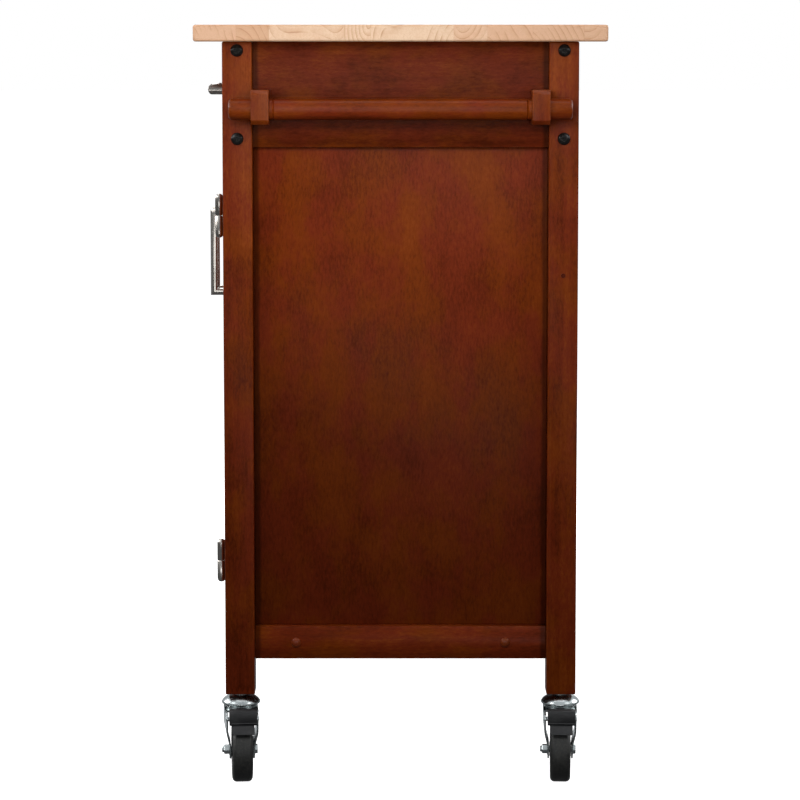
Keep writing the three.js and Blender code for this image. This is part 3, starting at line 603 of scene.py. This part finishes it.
WELD_DISTANCE = 1e-6
BOARD_ROUNDING = 0.0011
LEG_ROUNDING = 0.0016
BOX_ROUNDING = 0.0008
FRONT_LEG_JOINT = (0.608, 0.34)  # height, and contrast between the blocks
BACK_LEG_JOINT = (0.655, 0.14)
BLOCK_LENGTH = 0.50
TOWEL_GLOSS = 0.2
VENEER = {"figure": 0.22, "cloud": 0.6}


def dress_boards():
    boards = {}
    for side in SIDES:
        for end in ENDS:
            joint, contrast = FRONT_LEG_JOINT if side == "front" else BACK_LEG_JOINT
            boards[f"leg_{side}_{end}"] = ("Z", {"block": (BLOCK_LENGTH, joint, contrast)})
    for end in ENDS:
        # Painted shade: aprons, rails and panels darken at their ends beside the legs.
        boards[f"end_apron_{end}"] = ("Y", {"block": (0.55, 0.4, 0.1), "painted_shade_axes": "Y", "tone": 0.74})
        boards[f"end_rail_{end}"] = ("Y", {"block": (0.60, 0.5, 0.1), "painted_shade_axes": "Y", "tone": 1.15})
        # Painted shade: the panels are also darkened towards their lower ends.
        boards[f"end_panel_{end}"] = ("Z", {"painted_shade_axes": "Y", "tone": 1.08, "painted_falloff": 0.72, **VENEER})
        boards[f"drawer_{end}_front"] = ("X", {})
        boards[f"door_{end}_panel"] = ("Z", {})
        boards[f"door_{end}_frame"] = ("Z", {})
    boards["back_apron"] = ("X", {"block": (0.42, 0.1, 0.2), "painted_shade_axes": "X"})
    boards["back_rail"] = ("X", {"block": (0.5, 0.2, 0.2), "painted_shade_axes": "X"})
    boards["back_panel"] = ("Z", {"painted_shade_axes": "X", "painted_falloff": 0.8, **VENEER})
    boards["front_rail"] = ("X", {"block": (0.5, 0.0, 0.2)})
    boards["drawer_rail"] = ("X", {"block": (0.5, 0.3, 0.2)})
    boards["centre_stile"] = ("Z", {"block": (0.4, 0.3, 0.2)})
    boards["centre_divider"] = ("Z", {})
    boards["floor_panel"] = ("X", {})
    boards["cabinet_shelf"] = ("X", {})
    boards["open_shelf"] = ("X", {})
    for side in SIDES:
        boards[f"towel_bracket_{side}"] = ("Z", {"gloss": TOWEL_GLOSS})
    for number, (node, (axis, settings)) in enumerate(boards.items()):
        low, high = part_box(node)
        material = stained_wood(f"stain_{node}", axis, low, high, number + 1, **settings)
        dress(node, material, LEG_ROUNDING if node.startswith("leg") else BOARD_ROUNDING)
    dress("worktop", top_wood("worktop_wood", *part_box("worktop")))
    for number, end in enumerate(ENDS):
        dress(f"drawer_{end}_box", drawer_wood(f"drawer_wood_{end}", 3.0 + number), BOX_ROUNDING)


# ---------- towel bar, bolts, caps and plug ----------

def towel_bar():
    """A dowel with chamfered ends and a shallow groove beside the inner face of each bracket."""
    low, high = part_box("towel_bar")
    radius = (high.z - low.z) / 2
    half = (high.y - low.y) / 2
    bracket_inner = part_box("towel_bracket_back")[0].y
    groove = bracket_inner - 0.0045
    cut = 0.0009
    half_profile = [
        (radius, groove - 1.6 * cut),
        (radius - 0.5 * cut, groove - cut),
        (radius - 1.3 * cut, groove),
        (radius - 0.5 * cut, groove + cut),
        (radius, groove + 1.6 * cut),
        (radius, half - 0.0032),
        (radius - 0.0006, half - 0.0018),
        (radius - 0.0022, half - 0.0004),
        (radius - 0.0034, half),
        (0, half),
    ]
    profile = [(r, -z) for r, z in reversed(half_profile)] + [(radius, 0.0)] + half_profile
    shape = shifted(facing(lathe(profile, 64), (0, 1, 0)), centre("towel_bar"))
    material = stained_wood("stain_towel_bar", "Y", low, high, 71, gloss=TOWEL_GLOSS)
    piece("towel_dowel", shape, material, "cabinet", stands_for=["towel_bar"])


def bolt_shape(radius, dome):
    """A domed head with a hexagonal socket, on a thin flange."""
    steps = 48
    socket = radius * 0.34
    rim = [(radius * math.cos(a), dome * math.sin(a)) for a in (math.radians(d) for d in range(0, 70, 8))]
    rim = [(r, h + dome * 0.10) for r, h in rim if r > socket * 1.25]
    head = [(0, 0), (radius, 0), *rim, (socket * 1.15, dome * 1.02)]
    bottom = dome * 0.45
    points, faces = lathe(head, steps)
    first = len(points) - steps
    for height in (dome * 0.98, bottom):
        for i in range(steps):
            angle = 2 * math.pi * i / steps
            within = (angle % (math.pi / 3)) - math.pi / 6
            reach = socket * math.cos(math.pi / 6) / math.cos(within)
            points.append(Vector((reach * math.cos(angle), reach * math.sin(angle), height)))
    rows = [list(range(first + n * steps, first + (n + 1) * steps)) for n in range(3)]
    for lower, upper in zip(rows, rows[1:]):
        for i in range(steps):
            j = (i + 1) % steps
            faces.append([lower[i], lower[j], upper[j], upper[i]])
    faces.append(rows[-1])
    return points, faces


def bolts(material):
    for side in SIDES:
        for height in ("upper", "lower"):
            node = f"bolt_{side}_{height}"
            low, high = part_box(node)
            radius = (high.y - low.y) / 2
            dome = high.x - low.x
            middle = centre(node)
            for end, x, direction in (("right", low.x, 1), ("left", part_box("leg_front_left")[0].x, -1)):
                shape = facing(bolt_shape(radius, dome * 0.97), (direction, 0, 0))
                shape = shifted(shape, (x, middle.y, middle.z))
                stands_for = [node] if end == "right" else []
                piece(f"{node}_{end}_head", shape, material, "cabinet", stands_for=stands_for)


PLUG_HEIGHT = 0.585


def screw_caps():
    """Domed wooden caps on the end rails, and the plug in the towel-bar end's back leg."""
    radius, dome, spread = 0.0056, 0.0030, 0.121
    profile = [(radius * math.cos(a), dome * math.sin(a)) for a in (math.radians(d) for d in range(0, 90, 9))]
    cap = lathe([(0, 0), *profile, (0, dome)], 40)
    for end, direction in (("right", 1), ("left", -1)):
        low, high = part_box(f"end_rail_{end}")
        face = high.x if direction > 0 else low.x
        for side, y in (("front", -spread), ("back", spread)):
            shape = shifted(facing(cap, (direction, 0, 0)), (face, y, (low.z + high.z) / 2))
            box = (Vector((face, y - radius, low.z)), Vector((face + 0.01, y + radius, high.z)))
            material = stained_wood(f"stain_cap_{end}_{side}", "Y", *box, 80, tone=1.2, gloss=0.5)
            piece(f"screw_cap_{end}_{side}", shape, material, "cabinet")
    leg = centre("leg_back_right")
    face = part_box("leg_back_right")[1].x
    plug = lathe([(0, 0), (0.0026, 0), (0.0026, 0.0003), (0.0022, 0.0006), (0, 0.0007)], 32)
    shape = shifted(facing(plug, (1, 0, 0)), (face, leg.y, PLUG_HEIGHT))
    material = stained_wood("stain_plug", "Y", *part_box("leg_back_right"), 90, tone=0.55)
    piece("leg_plug", shape, material, "cabinet")


# ---------- pulls and hinges ----------

PULL_THICKNESS = 0.008
PULL_ROUNDING = 0.00035


def pull_shape(length, width, out):
    """A bent bar with a rounded outer side and mitred corners: its length along X and out towards -Y."""
    back, front = -PULL_THICKNESS / 2, PULL_THICKNESS / 2
    half = width / 2
    bulge = [(front * math.sin(t) * 1.15 - 0.15 * front, half * math.cos(t))
             for t in (math.radians(10 * i) for i in range(1, 18))]
    section = [(back, half * 0.80), (back * 0.86, half * 0.93), (back * 0.6, half), (-0.1 * front, half)]
    section += [(u, v) for u, v in bulge if u > 0]
    section += [(-0.1 * front, -half), (back * 0.6, -half), (back * 0.86, -half * 0.93), (back, -half * 0.80)]
    arm = length / 2 - front
    grip = out - front
    rows = [
        [Vector((sign * (arm + u), -(grip + u) if far else -0.0001, v)) for u, v in section]
        for sign, far in ((-1, False), (-1, True), (1, True), (1, False))
    ]
    count = len(section)
    points = [p for row in rows for p in row]
    faces = [list(range(count))[::-1], list(range(3 * count, 4 * count))]
    for row in range(3):
        for i in range(count):
            j = (i + 1) % count
            first = row * count
            faces.append([first + i, first + j, first + count + j, first + count + i])
    return points, faces


def pulls():
    for kind, axis in (("drawer", "X"), ("door", "Z")):
        for end in ENDS:
            node = f"{kind}_{end}_pull"
            low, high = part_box(node)
            size = high - low
            length, width = (size.x, size.z) if kind == "drawer" else (size.z, size.x)
            shape = pull_shape(length, width, size.y)
            if kind == "door":
                shape = moved(shape, Matrix.Rotation(math.pi / 2, 4, "Y"))
            middle = (low + high) / 2
            shape = shifted(shape, (middle.x, high.y, middle.z))
            material = brushed_nickel(f"nickel_{node}", axis)
            piece(f"{kind}_{end}_handle", shape, material, f"{kind}_{end}", PULL_ROUNDING, [node])


def screw(radius, depth):
    """A screw's nearly flat head with a round dimple in its middle."""
    profile = [
        (0, -depth),
        (radius, -depth),
        (radius, depth * 0.4),
        (radius * 0.92, depth),
        (radius * 0.42, depth * 1.1),
        (radius * 0.30, depth * 0.2),
        (0, 0),
    ]
    return lathe(profile, 28)


LEAF = 0.001
LEAF_GAP = 0.00015
HINGE_SCREWS = ((-0.017, 0.0022), (0.0, -0.0014), (0.017, 0.0022))  # height, and shift across the leaf


def hinges(material):
    """Butt hinges: each leaf with its half of the barrel, a domed tip and three screws."""
    for end in ENDS:
        side = 1 if end == "right" else -1
        joint = anchor(f"door_{end}_hinge")
        for place in ("upper", "lower"):
            frame_node = f"hinge_{end}_{place}_frame_leaf"
            door_node = f"hinge_{end}_{place}_door_leaf"
            low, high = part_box(frame_node)
            bottom, top = low.z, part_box(door_node)[1].z
            middle = (bottom + top) / 2
            axis = Vector((joint.x, joint.y, middle))
            radius = (high.x - low.x) / 2
            half = (top - bottom) / 2 - 0.003
            back = high.y - joint.y
            for node, own, up in ((frame_node, side, -1), (door_node, -side, 1)):
                barrel = [
                    (0, LEAF_GAP),
                    (radius * 0.90, LEAF_GAP),
                    (radius, 0.0009),
                    (radius, half - 0.0022),
                    (radius * 0.97, half - 0.0008),
                    (radius * 0.86, half + 0.0006),
                    (radius * 0.66, half + 0.0019),
                    (radius * 0.36, half + 0.0027),
                    (0, half + 0.0030),
                ]
                knuckle = lathe([(r, up * h) for r, h in barrel], 40)
                near = LEAF_GAP if own > 0 else -LEAF_GAP - LEAF
                plate = block((near, 0.0064, -half), (near + LEAF, back, half))
                neck_low, neck_high = (-half, -0.0002) if up < 0 else (0.0002, half)
                neck = block((near, 0.003, neck_low), (near + LEAF, 0.0066, neck_high))
                outward = -own
                face = near + (LEAF if outward > 0 else 0.0)
                heads = [
                    shifted(facing(screw(0.0026, 0.00009), (outward, 0, 0)), (face, 0.0135 + dy, z))
                    for z, dy in HINGE_SCREWS
                ]
                shape = shifted(joined(knuckle, plate, neck, *heads), axis)
                body = "cabinet" if node == frame_node else f"door_{end}"
                name = f"butt_hinge_{end}_{place}_{'fixed' if node == frame_node else 'swinging'}"
                piece(name, shape, material, body, stands_for=[node])


# ---------- casters ----------

ZINC_ROUNDING = 0.0005
PEDAL_ROUNDING = 0.0006


def hex_head(flats, height):
    """A hexagon head with turned-down corners."""
    reach = flats / math.sqrt(3)
    rows = [(0, 0), (reach, 0), (reach, height * 0.8), (reach * 0.88, height), (0, height)]
    return lathe(rows, 6)


def fork_shape(swivel, axle, pivot, top):
    """Yoke, races, dome, stem, axle bolt and brake pin. The swivel axis is at x = y = 0."""
    trail = axle.x
    reach = pivot.x
    wide = 0.020
    narrow = 0.0147
    front = 0.0184
    wall = 0.002
    crown = 0.079
    plate_top = crown + wall
    rear = -0.019
    ear = 0.011
    bend_top, bend_low = axle.z + 0.022, axle.z + 0.006

    def wall_shape(sign):
        """One bent side wall: its side outline in slices from top to bottom."""
        pivot_ear = 0.0055
        outline = [
            (rear, plate_top),
            (rear, crown - 0.0135),
            (trail - ear * 0.985, axle.z - 0.002),
            *arc(trail, axle.z, ear, 200, 355, 14),
            *arc(reach, pivot.z, pivot_ear, -20, 92, 8),
            (reach - pivot_ear - 0.006, pivot.z + pivot_ear),
            (reach - pivot_ear - 0.009, plate_top),
        ]
        points, faces = prism(outline, 0, 1, "Y")
        work = bpy.data.meshes.new("wall")
        work.from_pydata([tuple(p) for p in points], [], faces)
        cut = bmesh.new()
        cut.from_mesh(work)
        for z in (bend_top + 0.002, bend_top - 0.002, bend_low + 0.002, bend_low - 0.002):
            geometry = cut.verts[:] + cut.edges[:] + cut.faces[:]
            bmesh.ops.bisect_plane(cut, geom=geometry, plane_co=(0, 0, z), plane_no=(0, 0, 1))
        cut.verts.index_update()
        points = []
        for v in cut.verts:
            t = min(max((bend_top - v.co.z) / (bend_top - bend_low), 0.0), 1.0)
            toward_front = min(max((v.co.x - rear) / (reach - rear), 0.0), 1.0)
            upper = wide + (front - wide) * toward_front
            outer = upper + (narrow - upper) * t
            points.append(Vector((v.co.x, sign * (outer - wall * (1 - v.co.y)), v.co.z)))
        faces = [[v.index for v in f.verts] for f in cut.faces]
        cut.free()
        bpy.data.meshes.remove(work)
        return points, faces

    crown_plate = block((rear, 0.0005 - wide, crown), (0.022, wide - 0.0005, plate_top))
    race_profile = [  # radius and height, from under the crown up to the stem's top
        (0, crown + 0.001),
        (0.0168, crown + 0.001),
        (0.0168, plate_top),
        (0.0182, plate_top + 0.0002),
        (0.0190, plate_top + 0.0012),
        (0.0190, plate_top + 0.0028),
        (0.0182, plate_top + 0.0038),
        (0.0170, plate_top + 0.0040),
        (0.0170, plate_top + 0.0046),
        (0.0205, plate_top + 0.0046),
        (0.0219, plate_top + 0.0050),
        (0.0225, plate_top + 0.0060),
        (0.0223, plate_top + 0.0072),
        (0.0212, plate_top + 0.0090),
        (0.0190, plate_top + 0.0112),
        (0.0160, plate_top + 0.0130),
        (0.0125, plate_top + 0.0142),
        (0.0092, plate_top + 0.0148),
        (0.0088, plate_top + 0.0152),
        (0.0088, swivel.z - 0.0004),
        (0.0060, swivel.z - 0.0004),
        (0.0060, top),
        (0, top),
    ]
    races = lathe(race_profile, 64)
    bolt_at = Vector((trail, 0, axle.z))
    rod = lathe([(0, -narrow), (0.004, -narrow), (0.004, narrow), (0, narrow)], 28)
    rod = shifted(facing(rod, (0, 1, 0)), bolt_at)
    outside = Vector((0, narrow + 0.0003, 0))
    nut = shifted(facing(hex_head(0.0100, 0.0060), (0, -1, 0)), bolt_at - outside)
    head = shifted(facing(hex_head(0.0100, 0.0030), (0, 1, 0)), bolt_at + outside)
    washer_profile = [(0, 0), (0.0068, 0), (0.0070, 0.0003), (0.0066, 0.0006), (0, 0.0006)]
    washer = lathe(washer_profile, 32)
    washers = [
        shifted(facing(washer, (0, sign, 0)), bolt_at + Vector((0, sign * (narrow - 0.0002), 0)))
        for sign in (1, -1)
    ]
    tip = lathe([(0, 0), (0.0036, 0), (0.0036, 0.0078), (0.0028, 0.0085), (0, 0.0085)], 24)
    tip = shifted(facing(tip, (0, -1, 0)), bolt_at - Vector((0, narrow, 0)))
    pin_profile = [(0, -front - 0.0006), (0.0022, -front - 0.0006), (0.0025, -front),
                   (0.0025, front), (0.0022, front + 0.0006), (0, front + 0.0006)]
    pin = shifted(facing(lathe(pin_profile, 28), (0, 1, 0)), (reach, 0, pivot.z))
    return joined(wall_shape(1), wall_shape(-1), crown_plate, races, rod, nut, head, *washers, tip, pin)


WHEEL_RADIUS = 0.0375
SEAM_HEIGHT = 0.00012


def wheel_shape(axle):
    """Tyre with a rounded tread, a moulding seam, a rim lip, a dished web and a hub."""
    half, radius = 0.01175, WHEEL_RADIUS - SEAM_HEIGHT
    hub_half = 0.0124
    shoulder = 0.0052
    side = [
        (0.0043, hub_half - 0.0006),
        (0.0049, hub_half),
        (0.0080, hub_half),
        (0.0086, hub_half - 0.0006),
        (0.0092, half - 0.0040),
        (0.0100, half - 0.0046),
        (0.0215, half - 0.0046),
        (0.0228, half - 0.0040),
        (0.0240, half - 0.0012),
        (0.0248, half - 0.0006),
        (0.0262, half - 0.0006),
        (0.0268, half - 0.0012),
        (0.0272, half - 0.0012),
        (0.0280, half - 0.0003),
        (0.0300, half),
        *reversed(arc(radius - shoulder, half - shoulder, shoulder, 0, 80, 7)),
        (radius, 0.0006),
    ]
    profile = [*side, (radius + SEAM_HEIGHT, 0.0), *[(r, -h) for r, h in reversed(side)]]
    return shifted(facing(lathe([*profile, profile[0]], 72), (0, 1, 0)), axle)


def pedal_shape(axle, pivot):
    """Tread plate, pivot barrel and the narrower shoe that follows the tyre, about the pivot."""
    x, z = axle.x - pivot.x, axle.z - pivot.z
    shoe = WHEEL_RADIUS + 0.0048
    outer = shoe + 0.003
    plate_low = 52  # degrees about the axle, where the tread plate ends and the shoe begins
    outline = [
        *arc(x, z, shoe, plate_low, 62, 6),
        (-0.0045, 0.0010),
        (-0.0050, 0.0055),
        (-0.0034, 0.0092),
        (-0.0010, 0.0110),
        (0.0016, 0.0121),
        (0.0040, 0.0124),
        (0.0070, 0.0114),
        (0.0092, 0.0098),
        (0.0100, 0.0080),
        *arc(x, z, outer, plate_low + 1.5, plate_low, 1),
    ]
    width = 0.016
    body = prism(outline, -width, width, "Y")
    barrel_profile = [(0.0028, -width), (0.0047, -width), (0.0047, width), (0.0028, width), (0.0028, -width)]
    barrel = facing(lathe(barrel_profile, 32), (0, 1, 0))
    tongue = [*arc(x, z, shoe, 35, plate_low + 2, 6), *arc(x, z, shoe + 0.0009, plate_low + 2, 35, 6)]
    tongue = prism(tongue, -0.0127, 0.0127, "Y")
    ribs = []
    for t in (0.15, 0.38, 0.61, 0.84):
        px = 0.0036 + t * 0.0058
        pz = 0.0122 - t * t * 0.0026
        rib_half = width - 0.003
        ribs.append(block((px - 0.0004, -rib_half, pz - 0.0020), (px + 0.0004, rib_half, pz + 0.0002)))
    return shifted(joined(body, barrel, tongue, *ribs), pivot)


def casters(zinc, plastic):
    """Each caster is made with its wheel towards +X, then turned as its joints stand in the frame."""
    for side in SIDES:
        for end in ENDS:
            name = f"caster_{side}_{end}"
            swivel, axle, pivot = (anchor(f"{name}_{joint}") for joint in ("swivel", "spin", "brake"))
            turn = math.atan2(axle.y - swivel.y, axle.x - swivel.x)
            home = Matrix.Translation((swivel.x, swivel.y, 0)) @ Matrix.Rotation(turn, 4, "Z")
            local_axle = home.inverted() @ axle
            local_pivot = home.inverted() @ pivot
            offset = (home.inverted() @ centre(f"{name}_pedal")).y
            fork_body, wheel_body, pedal_body = (f"{name}_{part}" for part in ("fork", "wheel", "pedal"))
            fork = fork_shape(swivel, local_axle, local_pivot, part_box(fork_body)[1].z)
            piece(f"{name}_yoke", moved(fork, home), zinc, fork_body, ZINC_ROUNDING, [fork_body])
            rubber = tyre_rubber(f"rubber_{name}", axle)
            roller = moved(wheel_shape(local_axle), home)
            piece(f"{name}_roller", roller, rubber, wheel_body, stands_for=[wheel_body])
            lever = pedal_shape(local_axle, local_pivot + Vector((0, offset, 0)))
            lever = moved(lever, home)
            piece(f"{name}_lever", lever, plastic, pedal_body, PEDAL_ROUNDING, [pedal_body])


# ---------- inside ----------

def drawer_runners(zinc):
    """A channel on each side of each drawer: one half on the cabinet and one on the drawer."""
    box_low, box_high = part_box("drawer_right_box")
    y0, y1 = box_low.y + 0.004, box_high.y - 0.006
    for end in ENDS:
        low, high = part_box(f"drawer_{end}_box")
        z = low.z + 0.022
        for side, x, outward in (("outer", high.x, 1), ("inner", low.x, -1)):
            slim = block((x, y0, z - 0.006), (x + outward * 0.0022, y1, z + 0.006))
            piece(f"runner_{end}_{side}_moving", slim, zinc, f"drawer_{end}", ZINC_ROUNDING)
            base = x + outward * 0.0040
            lower_lip = [(0, -0.011), (0.0062, -0.011)]
            upper_lip = [(0.0062, 0.011), (0, 0.011), (0, 0.0095), (0.0048, 0.0095)]
            channel = [*lower_lip, *upper_lip, (0.0048, -0.0095), (0, -0.0095)]
            shape = prism([(base + outward * a, z + b) for a, b in channel], y0, y1, "Y")
            piece(f"runner_{end}_{side}_fixed", shape, zinc, "cabinet", 0.0003)


PIN_INSET = 0.045


def shelf_pins(zinc):
    """A pin under each corner of the two shelves."""
    for node in ("cabinet_shelf", "open_shelf"):
        low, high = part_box(node)
        for i, x in enumerate((low.x, high.x)):
            inward = 1 if i == 0 else -1
            for j, y in enumerate((low.y + PIN_INSET, high.y - PIN_INSET)):
                pin = lathe([(0, 0), (0.0025, 0), (0.0025, 0.0085), (0.0020, 0.0090), (0, 0.0090)], 24)
                shape = shifted(facing(pin, (inward, 0, 0)), (x, y, low.z - 0.0027))
                piece(f"{node}_pin_{i}_{j}", shape, zinc, "cabinet")


# ---------- floor and backdrop ----------

def make_floor():
    """A white floor that glows, so that it stays as white as the backdrop."""
    nodes = Nodes("floor_paint")
    point = nodes.place()
    cloud = nodes.noise(point, scale=3, detail=3)
    colour = nodes.mix(cloud, (0.86, 0.86, 0.86), (0.90, 0.90, 0.90))
    nodes.set(Base_Color=colour, Roughness=0.9, Specular_IOR_Level=0.1)
    nodes.set(Emission_Color=(1.0, 1.0, 1.0), Emission_Strength=1.0)
    mesh = bpy.data.meshes.new("floor")
    reach = 40.0
    corners = [(-reach, -reach, 0), (reach, -reach, 0), (reach, reach, 0), (-reach, reach, 0)]
    mesh.from_pydata(corners, [], [(0, 1, 2, 3)])
    mesh.materials.append(nodes.material)
    floor = bpy.data.objects.new("floor", mesh)
    floor.visible_diffuse = False
    floor.visible_glossy = False
    bpy.context.scene.collection.objects.link(floor)


def make_world():
    """White where the camera looks past the cart. Metal mirrors a room that is bright above and behind."""
    world = bpy.data.worlds.new("studio")
    world.use_nodes = True
    tree = world.node_tree
    tree.nodes.clear()

    def add(kind, **inputs):
        made = tree.nodes.new(kind)
        for key, value in inputs.items():
            made.inputs[int(key[1:])].default_value = value
        return made

    path = add("ShaderNodeLightPath")
    seen = add("ShaderNodeBackground", _0=(1, 1, 1, 1), _1=1.0)
    fill = add("ShaderNodeBackground", _0=(1, 1, 1, 1), _1=0.05)
    room = add("ShaderNodeBackground", _0=(0.94, 0.97, 1.0, 1))
    coords = add("ShaderNodeTexCoord")
    split = add("ShaderNodeSeparateXYZ")
    height = add("ShaderNodeMapRange", _1=-0.15, _2=0.6, _3=0.10, _4=0.62)
    behind = add("ShaderNodeMapRange", _1=-0.6, _2=-0.95, _3=0.0, _4=0.55)
    brighter = add("ShaderNodeMath")
    brighter.operation = "MAXIMUM"
    room_mix = add("ShaderNodeMixShader")
    mix = add("ShaderNodeMixShader")
    output = add("ShaderNodeOutputWorld")
    for start, end in (
        (coords.outputs["Generated"], split.inputs[0]),
        (split.outputs[2], height.inputs[0]),
        (split.outputs[0], behind.inputs[0]),
        (height.outputs[0], brighter.inputs[0]),
        (behind.outputs[0], brighter.inputs[1]),
        (brighter.outputs[0], room.inputs[1]),
        (path.outputs["Is Glossy Ray"], room_mix.inputs[0]),
        (fill.outputs[0], room_mix.inputs[1]),
        (room.outputs[0], room_mix.inputs[2]),
        (path.outputs["Is Camera Ray"], mix.inputs[0]),
        (room_mix.outputs[0], mix.inputs[1]),
        (seen.outputs[0], mix.inputs[2]),
        (mix.outputs[0], output.inputs[0]),
    ):
        tree.links.new(start, end)
    bpy.context.scene.world = world


# ---------- the whole scene ----------

make_camera()
make_lights()
make_world()
make_floor()
bpy.context.scene.view_settings.view_transform = "Standard"

zinc = zinc_plate("zinc_plate")
nickel = brushed_nickel("nickel_hinges", "Z")
plastic = moulded_plastic("pedal_nylon")
blackened = black_oxide("bolt_black")

dress_boards()
pulls()
towel_bar()
bolts(blackened)
screw_caps()
hinges(nickel)
casters(zinc, plastic)
drawer_runners(zinc)
shelf_pins(zinc)
